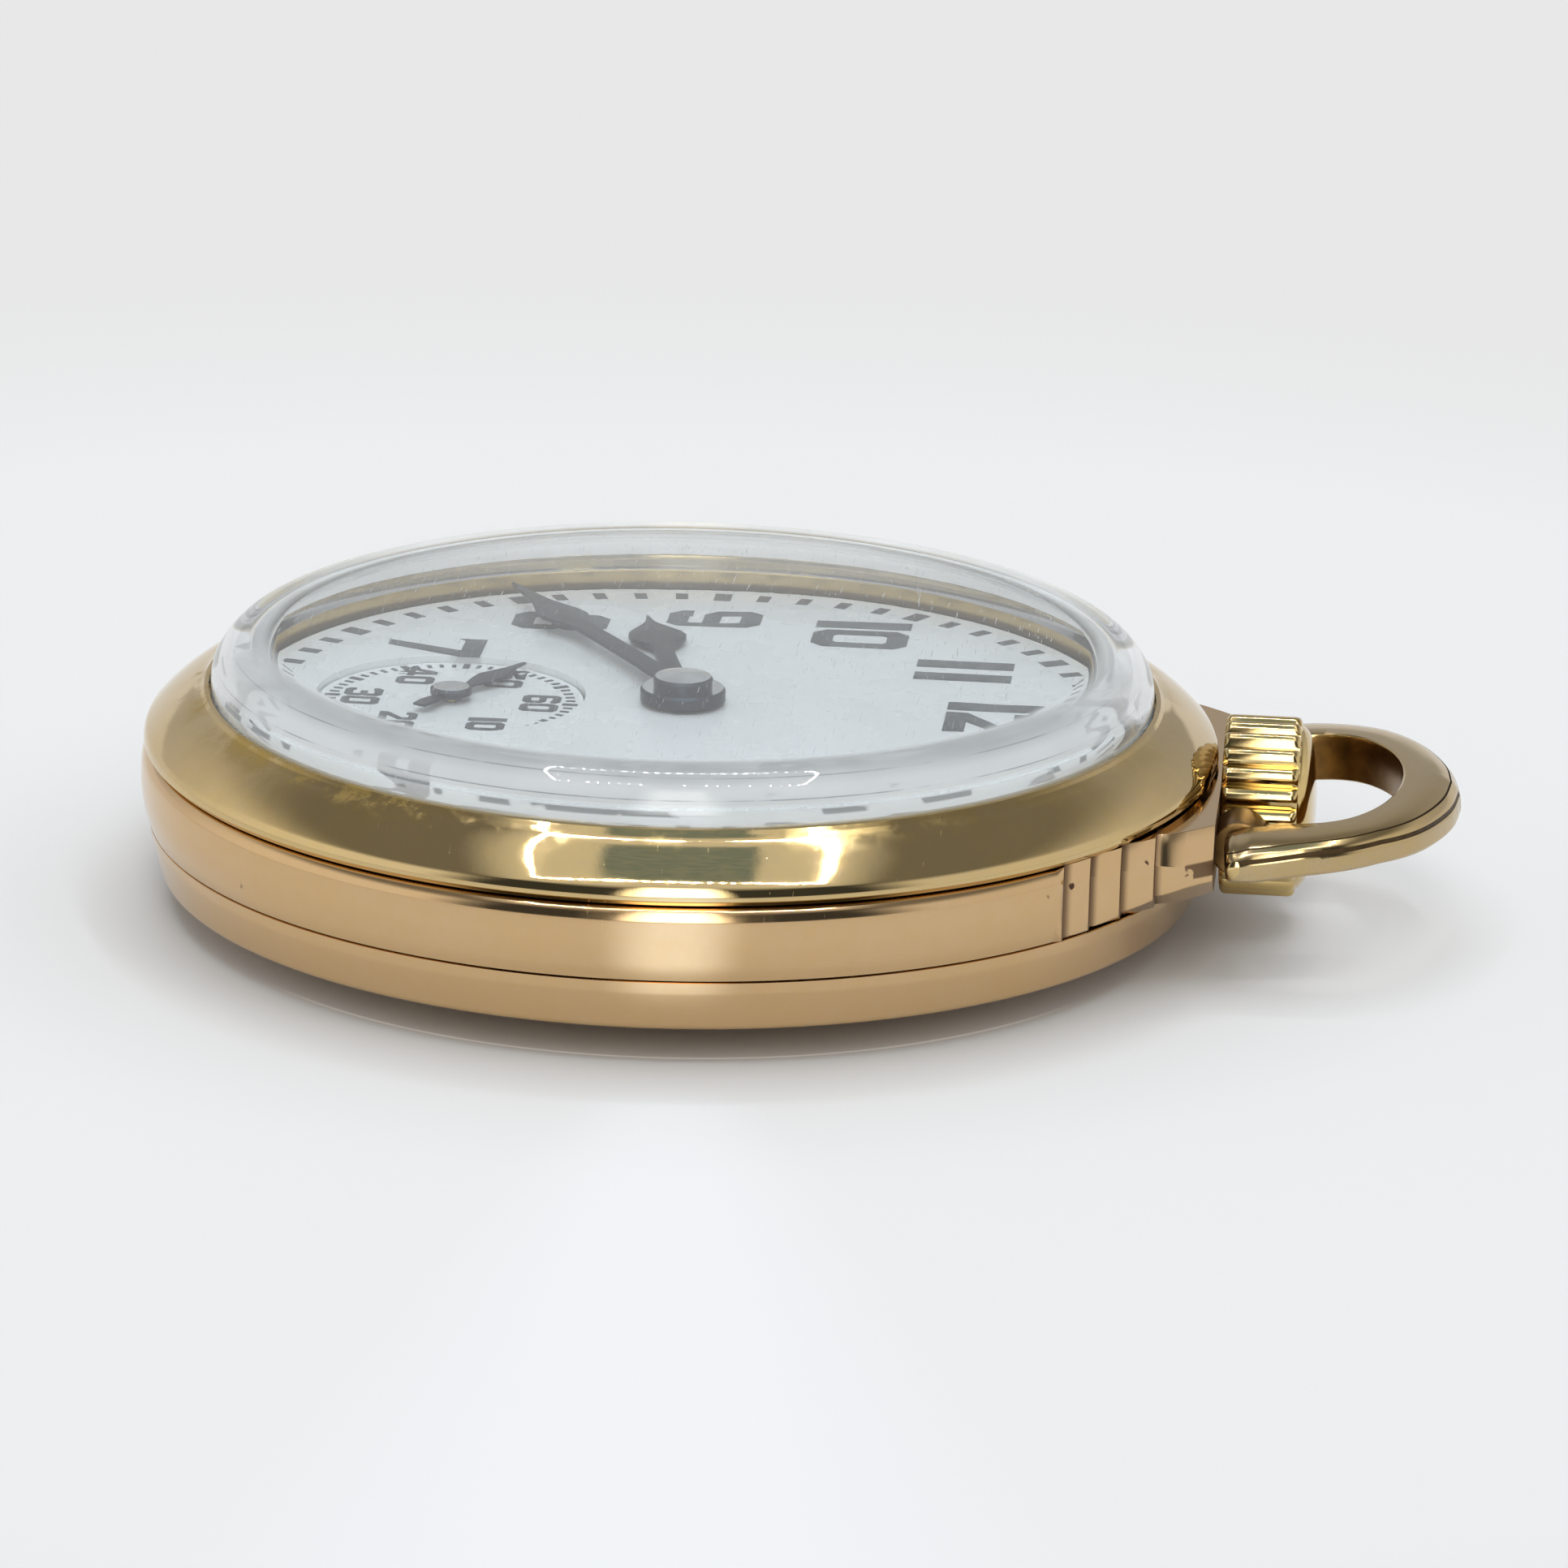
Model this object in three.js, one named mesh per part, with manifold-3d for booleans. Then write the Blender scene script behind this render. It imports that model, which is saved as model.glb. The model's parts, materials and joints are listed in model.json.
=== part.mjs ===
// Open face pocket watch, lying on its case back.
//
// Millimetres. The origin is the centre of the case back's flat. +Z points out of the dial,
// +Y towards 12 o'clock and the crown, +X towards 3 o'clock.
// Heights on the axis are given as [low, high] pairs.

import * as THREE from 'three';
import { mergeVertices } from 'three/addons/utils/BufferGeometryUtils.js';
import Module from 'manifold-3d';

const wasm = await Module();
wasm.setup();

// ---------------------------------------------------------------- driving dimensions

// Case
const CASE_SIDES = 40;
const BAND_R = 25.2; // widest radius of the case middle
const BEZEL_SEAM_Z = 7.62; // seam between the case middle and the bezel
const BACK_SEAM_Z = 4.15; // seam between the case middle and the case back
const SEAM_GAP = 0.06;
const THREAD_R = 23.4; // bore of the case middle where the bezel and the back screw in
const MOVEMENT_BORE_R = 21.8;
const SHELF_Z = [5.15, 6.65]; // ledge inside the case middle that carries the movement
const CRYSTAL_R = 22.0;
const CRYSTAL_SEAM_Z = 10.4;
const CRYSTAL_TOP_Z = 13.3;
const CRYSTAL_WALL = 1.4;
const BACK_WALL = 0.72;

// Pendant, crown and bow
const STEM_Z = 5.9; // height of the stem's axis
const STEM_R = 0.6;
const SHOULDER_END_Y = 25.4;
const CROWN_R = 4.2;
const CROWN_Y = [25.3, 28.9];
const CROWN_DOME_Y = 29.7;
const CROWN_FLUTES = 24;
const BOW_PIVOT_Y = 26.4;
const BOW_THICK = 2.6;
const BOW_END_THICK = 1.7;
const BOW_RAISED = THREE.MathUtils.degToRad(4.8); // angle at which the bow rests
const KNUCKLE_X = [4.55, 7.15];
const KNUCKLE_R = 1.3;
const PIN_R = 0.42;
const PIN_BORE_R = 0.52;

// Dial and hands
const DIAL_R = 21.4;
const DIAL_Z = [7.8, 8.4];
const SECONDS_DIAL_R = 6.2;
const SECONDS_DIAL_Z = [7.5, 8.15];
const HOUR_ANGLE = THREE.MathUtils.degToRad(103); // from 12 o'clock, counter-clockwise
const MINUTE_ANGLE = THREE.MathUtils.degToRad(121);
const SECONDS_ANGLE = THREE.MathUtils.degToRad(67);

// Movement
const PLATE_R = 21.5;
const PLATE_Z = [5.2, 6.9];
const BRIDGE_R = 20.6;
const BRIDGE_Z = [1.7, 2.6];
const PILLAR_TOP_Z = 5.15;
const WINDING_Z = [1.25, 1.6]; // ratchet wheel and crown wheel, outside the bridge
const SPLIT_Y = 1.6; // line between the barrel bridge and the train bridge
const CHANNEL = { halfWidth: 2.0, innerY: 12.4 }; // slot in the plate for the winding parts
const RUN = 0.07; // running clearance of shafts
const PIVOT_FOOT_Z = 2.1; // lower ends of the train's pivots, in the train bridge
const PIVOT_TOP_Z = 5.65; // upper ends of the train's pivots, in the plate
const STUD_FOOT_Z = 6.8;
const SCREW_TOP_Z = 3.0; // how far the bridge screws reach into their pillars
const SCREW_HEAD_R = 1.0;
const SCREW_SHANK_R = 0.42;
const SCREW_BORE_R = 0.52;
const SCREW_SLOT = 0.12; // half width of a slot
const CASE_SCREW_X = 20.85;
const CASE_SCREW_Y = -1.5;
const ALL_Z = [0, 9]; // heights that clear the whole movement
const ARBOR_R = 0.52;
const ARBOR_BORE_R = 0.62;
const DRUM_R = 7.05; // of the mainspring barrel
const DRUM_BORE_R = 6.6;
const FINE = 8; // sides of small holes and pivots
const ROUND = 12; // sides of small turned parts
const SMOOTH = 16; // sides of larger turned parts

// Heights of the wheels: [low, high]
const WHEEL_Z = {
  third: [2.72, 2.92], escape: [3.72, 3.98], pallet: [3.72, 3.95], barrel: [4.2, 4.5],
  fourth: [4.25, 4.45], center: [4.75, 5.0], cannon: [7.0, 7.26], setting: [7.03, 7.23],
  minute: [7.05, 7.22], hour: [7.38, 7.56],
};
const PINION_Z = {
  center: [4.1, 4.8], third: [4.66, 5.1], fourth: [2.64, 3.05], escape: [4.1, 4.6], minute: [7.2, 7.58],
};
const LEVER_Z = [7.02, 7.32];
const CLICK_Z = [1.3, 1.6];
const REGULATOR_Z = [1.3, 1.54];
const HAIRSPRING_Z = [2.24, 2.42];
const BALANCE_RIM_Z = [2.5, 3.05];
const BALANCE_ARM_Z = [2.58, 2.82];
const HOUR_HAND_Z = [8.6, 8.95];
const MINUTE_HAND_Z = [9.04, 9.32];
const SECONDS_HAND_Z = [8.34, 8.54];

const CENTER = [0, 0];
const BARREL = [6.81, 5.49];
const THIRD = [5.6, -5.4];
const FOURTH = [0, -10.9];
const ESCAPE = [-5.2, -13.2];
const BALANCE = [-11.8, -5.2];
const CROWN_WHEEL = [0, 14];
const MINUTE_WHEEL = [0, 4.6];
const COCK_FOOT = [-17.8, 4.4];
const LEVER_STUD = [6.5, 15.4]; // pivot of the setting lever
const CLICK = [-3.4, 8.6];
const PALLET_DISTANCE = 3.8; // from the escape wheel to the pallet fork
const PALLET_FOOT = [-10.9, -12.9];
const BARREL_PILLARS = [[-15.2, 9.8], [16.5, 9.0], [-6.2, 17.4], [8.6, 16.4]];
const TRAIN_PILLARS = [[15.5, -10], [1.8, -18.5], [-9.4, -16.6]];

const TEETH = {
  barrel: 48, centerPinion: 8,
  center: 48, thirdPinion: 6,
  third: 45, fourthPinion: 6,
  fourth: 60, escapePinion: 6,
  escape: 15,
  cannon: 10, minute: 30, minutePinion: 8, hour: 32, setting: 19,
  crown: 27, ratchet: 48, contrate: 18, windingPinion: 10,
};

// Colours
const ROSE_GOLD = { color: 0xc99a63, roughness: 0.22, metalness: 1 };
const YELLOW_GOLD = { color: 0xc2a25a, roughness: 0.2, metalness: 1 };
const CROWN_GOLD = { color: 0xd8c067, roughness: 0.2, metalness: 1 };
const BOW_GOLD = { color: 0xa98a5c, roughness: 0.3, metalness: 1 };
const ACRYLIC = { color: 0xe6ecee, roughness: 0.08, metalness: 0 };
const ENAMEL = { color: 0xdfe2e2, roughness: 0.3, metalness: 0 };
const BLUED = { color: 0x252b33, roughness: 0.35, metalness: 0.8 };
const NICKEL = { color: 0xb9bab6, roughness: 0.3, metalness: 1 };
const BRASS = { color: 0xb59348, roughness: 0.3, metalness: 1 };
const STEEL = { color: 0x9a9da1, roughness: 0.25, metalness: 1 };

// ---------------------------------------------------------------- solids

function polar([x, y], radius, angle) {
  return [x + radius * Math.cos(angle), y + radius * Math.sin(angle)];
}

// Closed solid from a geometry, with its faces turned outwards.
function solid(geometry) {
  const bare = geometry.clone();
  for (const name of ['normal', 'uv']) bare.deleteAttribute(name);
  const merged = mergeVertices(bare, 1e-5);
  const position = merged.attributes.position;
  const corner = [0, 1, 2].map(() => new THREE.Vector3());
  const triangles = [];
  let volume = 0;
  for (let i = 0; i < merged.index.count; i += 3) {
    const [a, b, c] = [0, 1, 2].map((k) => merged.index.getX(i + k));
    if (a === b || b === c || c === a) continue;
    [a, b, c].forEach((vertex, k) => corner[k].fromBufferAttribute(position, vertex));
    volume += corner[0].dot(corner[1].clone().cross(corner[2]));
    triangles.push(a, b, c);
  }
  if (volume < 0) triangles.reverse();
  return new wasm.Manifold(new wasm.Mesh({
    numProp: 3,
    vertProperties: new Float32Array(position.array),
    triVerts: new Uint32Array(triangles),
  }));
}

function union(...parts) {
  return parts.reduce((whole, part) => whole.add(part));
}

function cut(body, ...tools) {
  return tools.reduce((rest, tool) => rest.subtract(tool), body);
}

// Flat plate from an outline of [x, y] points, with optional holes, between two heights.
function plate(outline, [low, high], holes = []) {
  const shape = new THREE.Shape(outline.map(([x, y]) => new THREE.Vector2(x, y)));
  for (const hole of holes) {
    shape.holes.push(new THREE.Path(hole.map(([x, y]) => new THREE.Vector2(x, y))));
  }
  const geometry = new THREE.ExtrudeGeometry(shape, { depth: high - low, bevelEnabled: false });
  return solid(geometry.translate(0, 0, low));
}

function circle(radius, sides, centre = [0, 0]) {
  return Array.from({ length: sides }, (_, i) => polar(centre, radius, (i * 2 * Math.PI) / sides));
}

function disc(radius, heights, centre = [0, 0], sides = 24) {
  return plate(circle(radius, sides, centre), heights);
}

function block([x0, x1], [y0, y1], [z0, z1]) {
  return plate([[x0, y0], [x1, y0], [x1, y1], [x0, y1]], [z0, z1]);
}

// Solid of revolution about +Z from [radius, height] points.
function turned(profile, sides = 24, centre = [0, 0]) {
  const points = profile.map(([r, z]) => new THREE.Vector2(r, z));
  const geometry = new THREE.LatheGeometry(points, sides);
  return solid(geometry.rotateX(Math.PI / 2).rotateZ(Math.PI / 2).translate(centre[0], centre[1], 0));
}

function turnedRing(profile, sides, centre) {
  return turned([...profile, profile[0]], sides, centre);
}

// Shaft built up from steps of [radius, low, high].
function shaft(steps, centre, sides = FINE) {
  return union(...steps.map(([r, low, high]) => disc(r, [low, high], centre, sides)));
}

// Cylinder along +Y at stem height.
function alongStem(radius, [from, to], sides = 24) {
  const geometry = new THREE.CylinderGeometry(radius, radius, to - from, sides);
  return solid(geometry.translate(0, (from + to) / 2, STEM_Z));
}

// Cylinder along +X on the bow's pivot axis.
function alongPivot(radius, [from, to], sides = 16) {
  const geometry = new THREE.CylinderGeometry(radius, radius, to - from, sides);
  return solid(geometry.rotateZ(Math.PI / 2).translate((from + to) / 2, BOW_PIVOT_Y, STEM_Z));
}

// Skin through sections with equal numbers of points, closed by flat convex ends.
function loft(sections) {
  const count = sections[0].length;
  const index = [];
  for (let s = 0; s + 1 < sections.length; s += 1) {
    for (let i = 0; i < count; i += 1) {
      const [a, b] = [s * count + i, s * count + ((i + 1) % count)];
      index.push(a, b, b + count, a, b + count, a + count);
    }
  }
  const last = (sections.length - 1) * count;
  for (let i = 1; i + 1 < count; i += 1) {
    index.push(0, i + 1, i, last, last + i, last + i + 1);
  }
  const geometry = new THREE.BufferGeometry();
  geometry.setAttribute('position', new THREE.Float32BufferAttribute(sections.flat(2), 3));
  geometry.setIndex(index);
  return solid(geometry);
}

// Outline that wraps two round ends, as on a lever or a cock.
function capsule([x0, y0], r0, [x1, y1], r1, sides = 10) {
  const along = Math.atan2(y1 - y0, x1 - x0);
  const half = Array.from({ length: sides / 2 + 1 }, (_, i) => -Math.PI / 2 + (i * Math.PI) / (sides / 2));
  const end = (centre, r, facing) => half.map((angle) => polar(centre, r, facing + angle));
  return [...end([x1, y1], r1, along), ...end([x0, y0], r0, along + Math.PI)];
}

// ---------------------------------------------------------------- gears

// Toothed outline. The first tooth points along the angle phase.
function toothed(teeth, root, tip, { centre = [0, 0], phase = 0, rootWidth = 1, tipWidth = 0 } = {}) {
  const pitch = (2 * Math.PI) / teeth;
  const outline = [];
  for (let i = 0; i < teeth; i += 1) {
    const corners = [];
    corners.push([root, -rootWidth / 2]);
    if (tipWidth > 0) corners.push([tip, -tipWidth / 2]);
    corners.push([tip, tipWidth / 2]);
    if (rootWidth < 1) corners.push([root, rootWidth / 2]);
    for (const [radius, offset] of corners) outline.push(polar(centre, radius, phase + (i + offset) * pitch));
  }
  return outline;
}

function distance(a, b) {
  return Math.hypot(b[0] - a[0], b[1] - a[1]);
}

function bearing(a, b) {
  return Math.atan2(b[1] - a[1], b[0] - a[0]);
}

// Phase of the second gear so that its gap faces a tooth of the first at the contact.
function meshPhase(first, second) {
  const along = bearing(first.centre, second.centre);
  const passed = ((along - first.phase) * first.teeth) / (2 * Math.PI);
  return along + Math.PI - ((0.5 - passed) * 2 * Math.PI) / second.teeth;
}

// Pitch radii of two meshing gears from their centre distance.
function pitchRadii(span, teethA, teethB) {
  return [(span * teethA) / (teethA + teethB), (span * teethB) / (teethA + teethB)];
}

function wheelOutline(gear) {
  const module = (2 * gear.pitch) / gear.teeth;
  return toothed(gear.teeth, gear.pitch - 0.75 * module, gear.pitch + 0.4 * module, gear);
}

function pinionOutline(gear) {
  const module = (2 * gear.pitch) / gear.teeth;
  const shape = { ...gear, rootWidth: 0.42, tipWidth: 0.16 };
  return toothed(gear.teeth, gear.pitch - 0.8 * module, gear.pitch + 0.4 * module, shape);
}

// Windows between the arms of a wheel.
function windows(centre, inner, outer, arms = 4) {
  const armHalf = 0.16;
  return Array.from({ length: arms }, (_, i) => {
    const from = (i * 2 * Math.PI) / arms + armHalf;
    const to = ((i + 1) * 2 * Math.PI) / arms - armHalf;
    const rim = [0, 1, 2].map((k) => polar(centre, outer, from + ((to - from) * k) / 2));
    return [...rim, polar(centre, inner, (from + to) / 2)];
  });
}

const [BARREL_PITCH, CENTER_PINION_PITCH] = pitchRadii(
  distance(BARREL, CENTER), TEETH.barrel, TEETH.centerPinion,
);
const [CENTER_PITCH, THIRD_PINION_PITCH] = pitchRadii(
  distance(CENTER, THIRD), TEETH.center, TEETH.thirdPinion,
);
const [THIRD_PITCH, FOURTH_PINION_PITCH] = pitchRadii(
  distance(THIRD, FOURTH), TEETH.third, TEETH.fourthPinion,
);
const [FOURTH_PITCH, ESCAPE_PINION_PITCH] = pitchRadii(
  distance(FOURTH, ESCAPE), TEETH.fourth, TEETH.escapePinion,
);
const [CANNON_PITCH, MINUTE_PITCH] = pitchRadii(
  distance(CENTER, MINUTE_WHEEL), TEETH.cannon, TEETH.minute,
);
const [HOUR_PITCH, MINUTE_PINION_PITCH] = pitchRadii(
  distance(CENTER, MINUTE_WHEEL), TEETH.hour, TEETH.minutePinion,
);
const [RATCHET_PITCH, CROWN_WHEEL_PITCH] = pitchRadii(
  distance(BARREL, CROWN_WHEEL), TEETH.ratchet, TEETH.crown,
);
const SETTING_PITCH = (MINUTE_PITCH * TEETH.setting) / TEETH.minute;
const SETTING_WHEEL = [0, MINUTE_WHEEL[1] + MINUTE_PITCH + SETTING_PITCH];

function gear(teeth, pitch, centre, mate) {
  const made = { teeth, pitch, centre, phase: 0 };
  if (mate) made.phase = meshPhase(mate, made);
  return made;
}

const GEARS = {};
GEARS.barrel = gear(TEETH.barrel, BARREL_PITCH, BARREL);
GEARS.centerPinion = gear(TEETH.centerPinion, CENTER_PINION_PITCH, CENTER, GEARS.barrel);
GEARS.center = gear(TEETH.center, CENTER_PITCH, CENTER);
GEARS.thirdPinion = gear(TEETH.thirdPinion, THIRD_PINION_PITCH, THIRD, GEARS.center);
GEARS.third = gear(TEETH.third, THIRD_PITCH, THIRD);
GEARS.fourthPinion = gear(TEETH.fourthPinion, FOURTH_PINION_PITCH, FOURTH, GEARS.third);
GEARS.fourth = gear(TEETH.fourth, FOURTH_PITCH, FOURTH);
GEARS.escapePinion = gear(TEETH.escapePinion, ESCAPE_PINION_PITCH, ESCAPE, GEARS.fourth);
GEARS.cannon = gear(TEETH.cannon, CANNON_PITCH, CENTER);
GEARS.minute = gear(TEETH.minute, MINUTE_PITCH, MINUTE_WHEEL, GEARS.cannon);
GEARS.minutePinion = gear(TEETH.minutePinion, MINUTE_PINION_PITCH, MINUTE_WHEEL);
GEARS.hour = gear(TEETH.hour, HOUR_PITCH, CENTER, GEARS.minutePinion);
GEARS.setting = gear(TEETH.setting, SETTING_PITCH, SETTING_WHEEL, GEARS.minute);
GEARS.ratchet = gear(TEETH.ratchet, RATCHET_PITCH, BARREL);
GEARS.crown = gear(TEETH.crown, CROWN_WHEEL_PITCH, CROWN_WHEEL, GEARS.ratchet);

// ---------------------------------------------------------------- case

function crystal() {
  const inner = CRYSTAL_R - CRYSTAL_WALL;
  const top = CRYSTAL_TOP_Z;
  return turned([
    [0, top], [8, top - 0.1], [15, top - 0.33], [19.7, top - 0.65], [21.2, top - 1.2],
    [CRYSTAL_R, CRYSTAL_SEAM_Z + 1.0], [CRYSTAL_R, CRYSTAL_SEAM_Z - 0.6],
    [inner, CRYSTAL_SEAM_Z - 0.6], [inner, CRYSTAL_SEAM_Z + 0.5], [19.3, top - 1.95],
    [15, top - 1.65], [0, top - 1.35],
  ], CASE_SIDES);
}

function bezel() {
  const foot = BEZEL_SEAM_Z + SEAM_GAP;
  return turnedRing([
    [22.1, CRYSTAL_SEAM_Z], [22.3, 10.3], [23.7, 9.55], [24.75, 8.72], [25.05, 8.2], [25.1, foot],
    [THREAD_R - 0.1, foot], [THREAD_R - 0.1, SHELF_Z[1] + 0.1], [22.4, SHELF_Z[1] + 0.1],
    [22.3, 8.6], [20.9, 8.8], [20.7, 9.7], [22.1, 9.7],
  ], CASE_SIDES);
}

function caseBack() {
  const rim = BACK_SEAM_Z - SEAM_GAP;
  const skirt = SHELF_Z[0] - 0.1;
  return turned([
    [0, 0], [16.8, 0], [20, 0.46], [22.5, 1.1], [23.5, 1.65], [24.2, 2.45], [24.65, 3.3],
    [24.83, rim], [THREAD_R - 0.1, rim], [THREAD_R - 0.1, skirt], [22.5, skirt],
    [22.5, 2.4], [21.8, 1.75], [20, 1.2], [16.8, BACK_WALL], [0, BACK_WALL],
  ], CASE_SIDES);
}

// Half width of the shoulders: four saw-shaped steps that swing from the band to the pendant.
function shoulderStations() {
  const ridges = [[18.9, 16.6], [20.0, 15.1], [21.3, 13.55], [22.75, 12.0], [SHOULDER_END_Y, 10.35]];
  const stations = [[18.0, 16.6]];
  ridges.slice(0, 4).forEach(([y, half], i) => {
    const [nextY, nextHalf] = ridges[i + 1];
    const dipY = y + 0.16;
    const depth = i === 0 ? 0.2 : 0.42;
    const slope = (nextHalf - half) / (nextY - y);
    stations.push([y, half], [dipY, half + slope * 0.16 - depth]);
  });
  stations.push([23.5, 11.05], [25.0, 10.35], [SHOULDER_END_Y, 9.95]);
  return stations;
}

function shoulders() {
  const top = BEZEL_SEAM_Z - 0.02;
  const section = ([y, half]) => {
    const toEnd = Math.max(0, (y - 20) / (SHOULDER_END_Y - 20));
    const chamfer = 0.45 + 0.45 * toEnd;
    const drop = 0.8 + 0.6 * toEnd;
    const under = BACK_SEAM_Z + 0.1 + 0.5 * toEnd;
    const tuck = 0.4 + 1.4 * toEnd;
    const right = [
      [half - tuck, y, BACK_SEAM_Z], [half, y, under], [half, y, top - drop], [half - chamfer, y, top],
    ];
    return [...right, ...right.map(([x, , z]) => [-x, y, z]).reverse()];
  };
  const whole = loft(shoulderStations().map(section));
  return cut(whole, disc(24.5, [0, 12], CENTER, CASE_SIDES));
}

function knuckle(side) {
  const [near, far] = KNUCKLE_X;
  const span = side > 0 ? [near, far] : [-far, -near];
  const web = side > 0 ? [near + 0.2, far - 0.2] : [-far + 0.2, -near - 0.2];
  return union(
    alongPivot(KNUCKLE_R, span),
    block(web, [SHOULDER_END_Y - 0.3, BOW_PIVOT_Y], [STEM_Z - 0.5, STEM_Z + 0.5]),
  );
}

function pinSpan(side) {
  return side > 0 ? [KNUCKLE_X[0] + 0.4, 10.22] : [-10.22, -KNUCKLE_X[0] - 0.4];
}

function caseMiddle() {
  const [shelfLow, shelfHigh] = SHELF_Z;
  const band = turnedRing([
    [THREAD_R, BEZEL_SEAM_Z], [24.75, BEZEL_SEAM_Z], [25.08, 7.2], [BAND_R, 6.6], [BAND_R, 5.7],
    [25.05, 4.9], [24.85, BACK_SEAM_Z], [THREAD_R, BACK_SEAM_Z], [THREAD_R, shelfLow],
    [MOVEMENT_BORE_R, shelfLow], [MOVEMENT_BORE_R, shelfHigh], [THREAD_R, shelfHigh],
  ], CASE_SIDES);
  const body = union(band, shoulders(), knuckle(1), knuckle(-1));
  return cut(
    body,
    alongStem(CROWN_R + 0.2, [25.08, 26], 32),
    alongStem(1.42, [THREAD_R - 0.3, 25.5], 16),
    alongStem(STEM_R + 0.1, [MOVEMENT_BORE_R - 1, THREAD_R], 12),
    alongPivot(PIN_BORE_R, pinSpan(1).map((x) => x - 0.1), 12),
    alongPivot(PIN_BORE_R, pinSpan(-1).map((x) => x + 0.1), 12),
  );
}

function pendantSleeve() {
  return cut(alongStem(1.34, [THREAD_R + 0.05, 26.9], 16), alongStem(0.74, [22, 28], 12));
}

function crown() {
  const [base, shoulder] = CROWN_Y;
  const fluted = plate(toothed(CROWN_FLUTES, CROWN_R - 0.3, CROWN_R, { tipWidth: 0.4 }), [base, shoulder]);
  const dome = turned([[0, CROWN_DOME_Y], [2.2, CROWN_DOME_Y - 0.12], [3.5, CROWN_DOME_Y - 0.45],
    [CROWN_R - 0.3, shoulder], [CROWN_R - 0.3, shoulder - 0.3], [0, shoulder - 0.3]], 32);
  const hollow = union(disc(1.6, [base - 1, 27.1], CENTER, 16), disc(STEM_R + 0.08, [27, 28.2], CENTER, 12));
  const upright = cut(union(fluted, dome), hollow);
  return upright.rotate([-90, 0, 0]).translate([0, 0, STEM_Z]);
}

function windingStem() {
  return alongStem(STEM_R, [11.2, 28.1], 12);
}

// Matching inner and outer edges of half the bow, from the pivot to the tip: [x, y].
function bowEdges() {
  const inner = [
    [8.0, 25.72], [7.45, 26.0], [7.3, 26.6], [7.3, 27.75], [6.6, 28.35], [7.05, 29.1],
    [7.1, 30.3], [6.5, 31.6], [5.3, 32.7], [3.7, 33.55], [2.1, 34.02], [0, 34.2],
  ];
  const outer = [
    [9.9, 25.72], [10.28, 26.0], [10.3, 26.6], [10.27, 27.5], [10.15, 28.4], [10.0, 29.5],
    [9.6, 30.9], [8.85, 32.3], [7.55, 33.8], [5.7, 35.0], [3.2, 35.95], [0, 36.5],
  ];
  return inner.map((point, i) => [point, outer[i]]);
}

function bow() {
  const section = ([[ix, iy], [ox, oy]]) => {
    const swell = THREE.MathUtils.clamp((iy - BOW_PIVOT_Y) / 1.6, 0, 1);
    const nearEnd = iy < 25.9 ? 0.6 : 0;
    const half = (BOW_END_THICK + (BOW_THICK - BOW_END_THICK) * swell - nearEnd) / 2;
    const rim = Math.min(0.42, half - 0.3);
    const t = 1 - 0.5 / Math.hypot(ox - ix, oy - iy);
    const bevel = [ix + (ox - ix) * t, iy + (oy - iy) * t];
    return [
      [ix, iy, half], [...bevel, half - 0.4 * swell - 0.05], [ox, oy, rim],
      [ox, oy, -rim], [...bevel, -half + 0.4 * swell + 0.05], [ix, iy, -half],
    ];
  };
  const right = bowEdges().map(section);
  const left = right.slice(0, -1).reverse().map((points) => points.map(([x, y, z]) => [-x, y, z]));
  const flat = loft([...right, ...left]).translate([0, -BOW_PIVOT_Y, 0]);
  const raised = flat.rotate([THREE.MathUtils.radToDeg(BOW_RAISED), 0, 0]);
  return cut(raised.translate([0, BOW_PIVOT_Y, STEM_Z]), alongPivot(PIN_BORE_R, [-12, 12], 12));
}

function bowPin(side) {
  return alongPivot(PIN_R, pinSpan(side), 12);
}

function caseScrew(side) {
  const head = [SHELF_Z[0] - 0.53, SHELF_Z[0] - 0.13];
  return screw([side * CASE_SCREW_X, CASE_SCREW_Y], head, head[1] + 1.38, 1.15);
}

// Slotted screw with its head at the low end.
function screw(centre, head, tip, headRadius = SCREW_HEAD_R) {
  const [x, y] = centre;
  const shank = disc(SCREW_SHANK_R, [head[0], tip], centre, FINE);
  const body = union(disc(headRadius, head, centre, ROUND), shank);
  const slotZ = [head[0] - 1, head[0] + 0.14];
  return cut(body, block([x - 2, x + 2], [y - SCREW_SLOT, y + SCREW_SLOT], slotZ));
}

// ---------------------------------------------------------------- dial and hands

const DIAL_FEET = [[15.5, 7.5], [-15.5, 7.5], [10.5, -14.5]];

function dial() {
  const face = plate(circle(DIAL_R, CASE_SIDES), DIAL_Z, [
    circle(1.5, 16),
    circle(SECONDS_DIAL_R + 0.1, 24, FOURTH),
  ]);
  return union(face, ...DIAL_FEET.map((foot) => disc(0.4, [6.1, 7.9], foot, FINE)));
}

function secondsDial() {
  return plate(circle(SECONDS_DIAL_R, 24, FOURTH), SECONDS_DIAL_Z, [circle(0.5, FINE, FOURTH)]);
}

function handOutline(stations) {
  const left = stations.map(([y, half]) => [-half, y]);
  const right = stations.filter(([, half]) => half > 0).map(([y, half]) => [half, y]).reverse();
  return [...left, ...right];
}

function turnedHand(body, angle, [x, y] = [0, 0]) {
  return body.rotate([0, 0, THREE.MathUtils.radToDeg(angle)]).translate([x, y, 0]);
}

function hourHand() {
  const blade = plate(handOutline([[1, 0.5], [8.2, 0.38], [8.9, 1.3], [9.9, 1.75], [11.2, 1.2],
    [12.3, 0.35], [14.1, 0]]), [HOUR_HAND_Z[0] + 0.08, HOUR_HAND_Z[1] - 0.05]);
  const boss = disc(2.0, HOUR_HAND_Z, CENTER, 24);
  return turnedHand(cut(union(blade, boss), disc(1.32, [8, 10], CENTER, SMOOTH)), HOUR_ANGLE);
}

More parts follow.
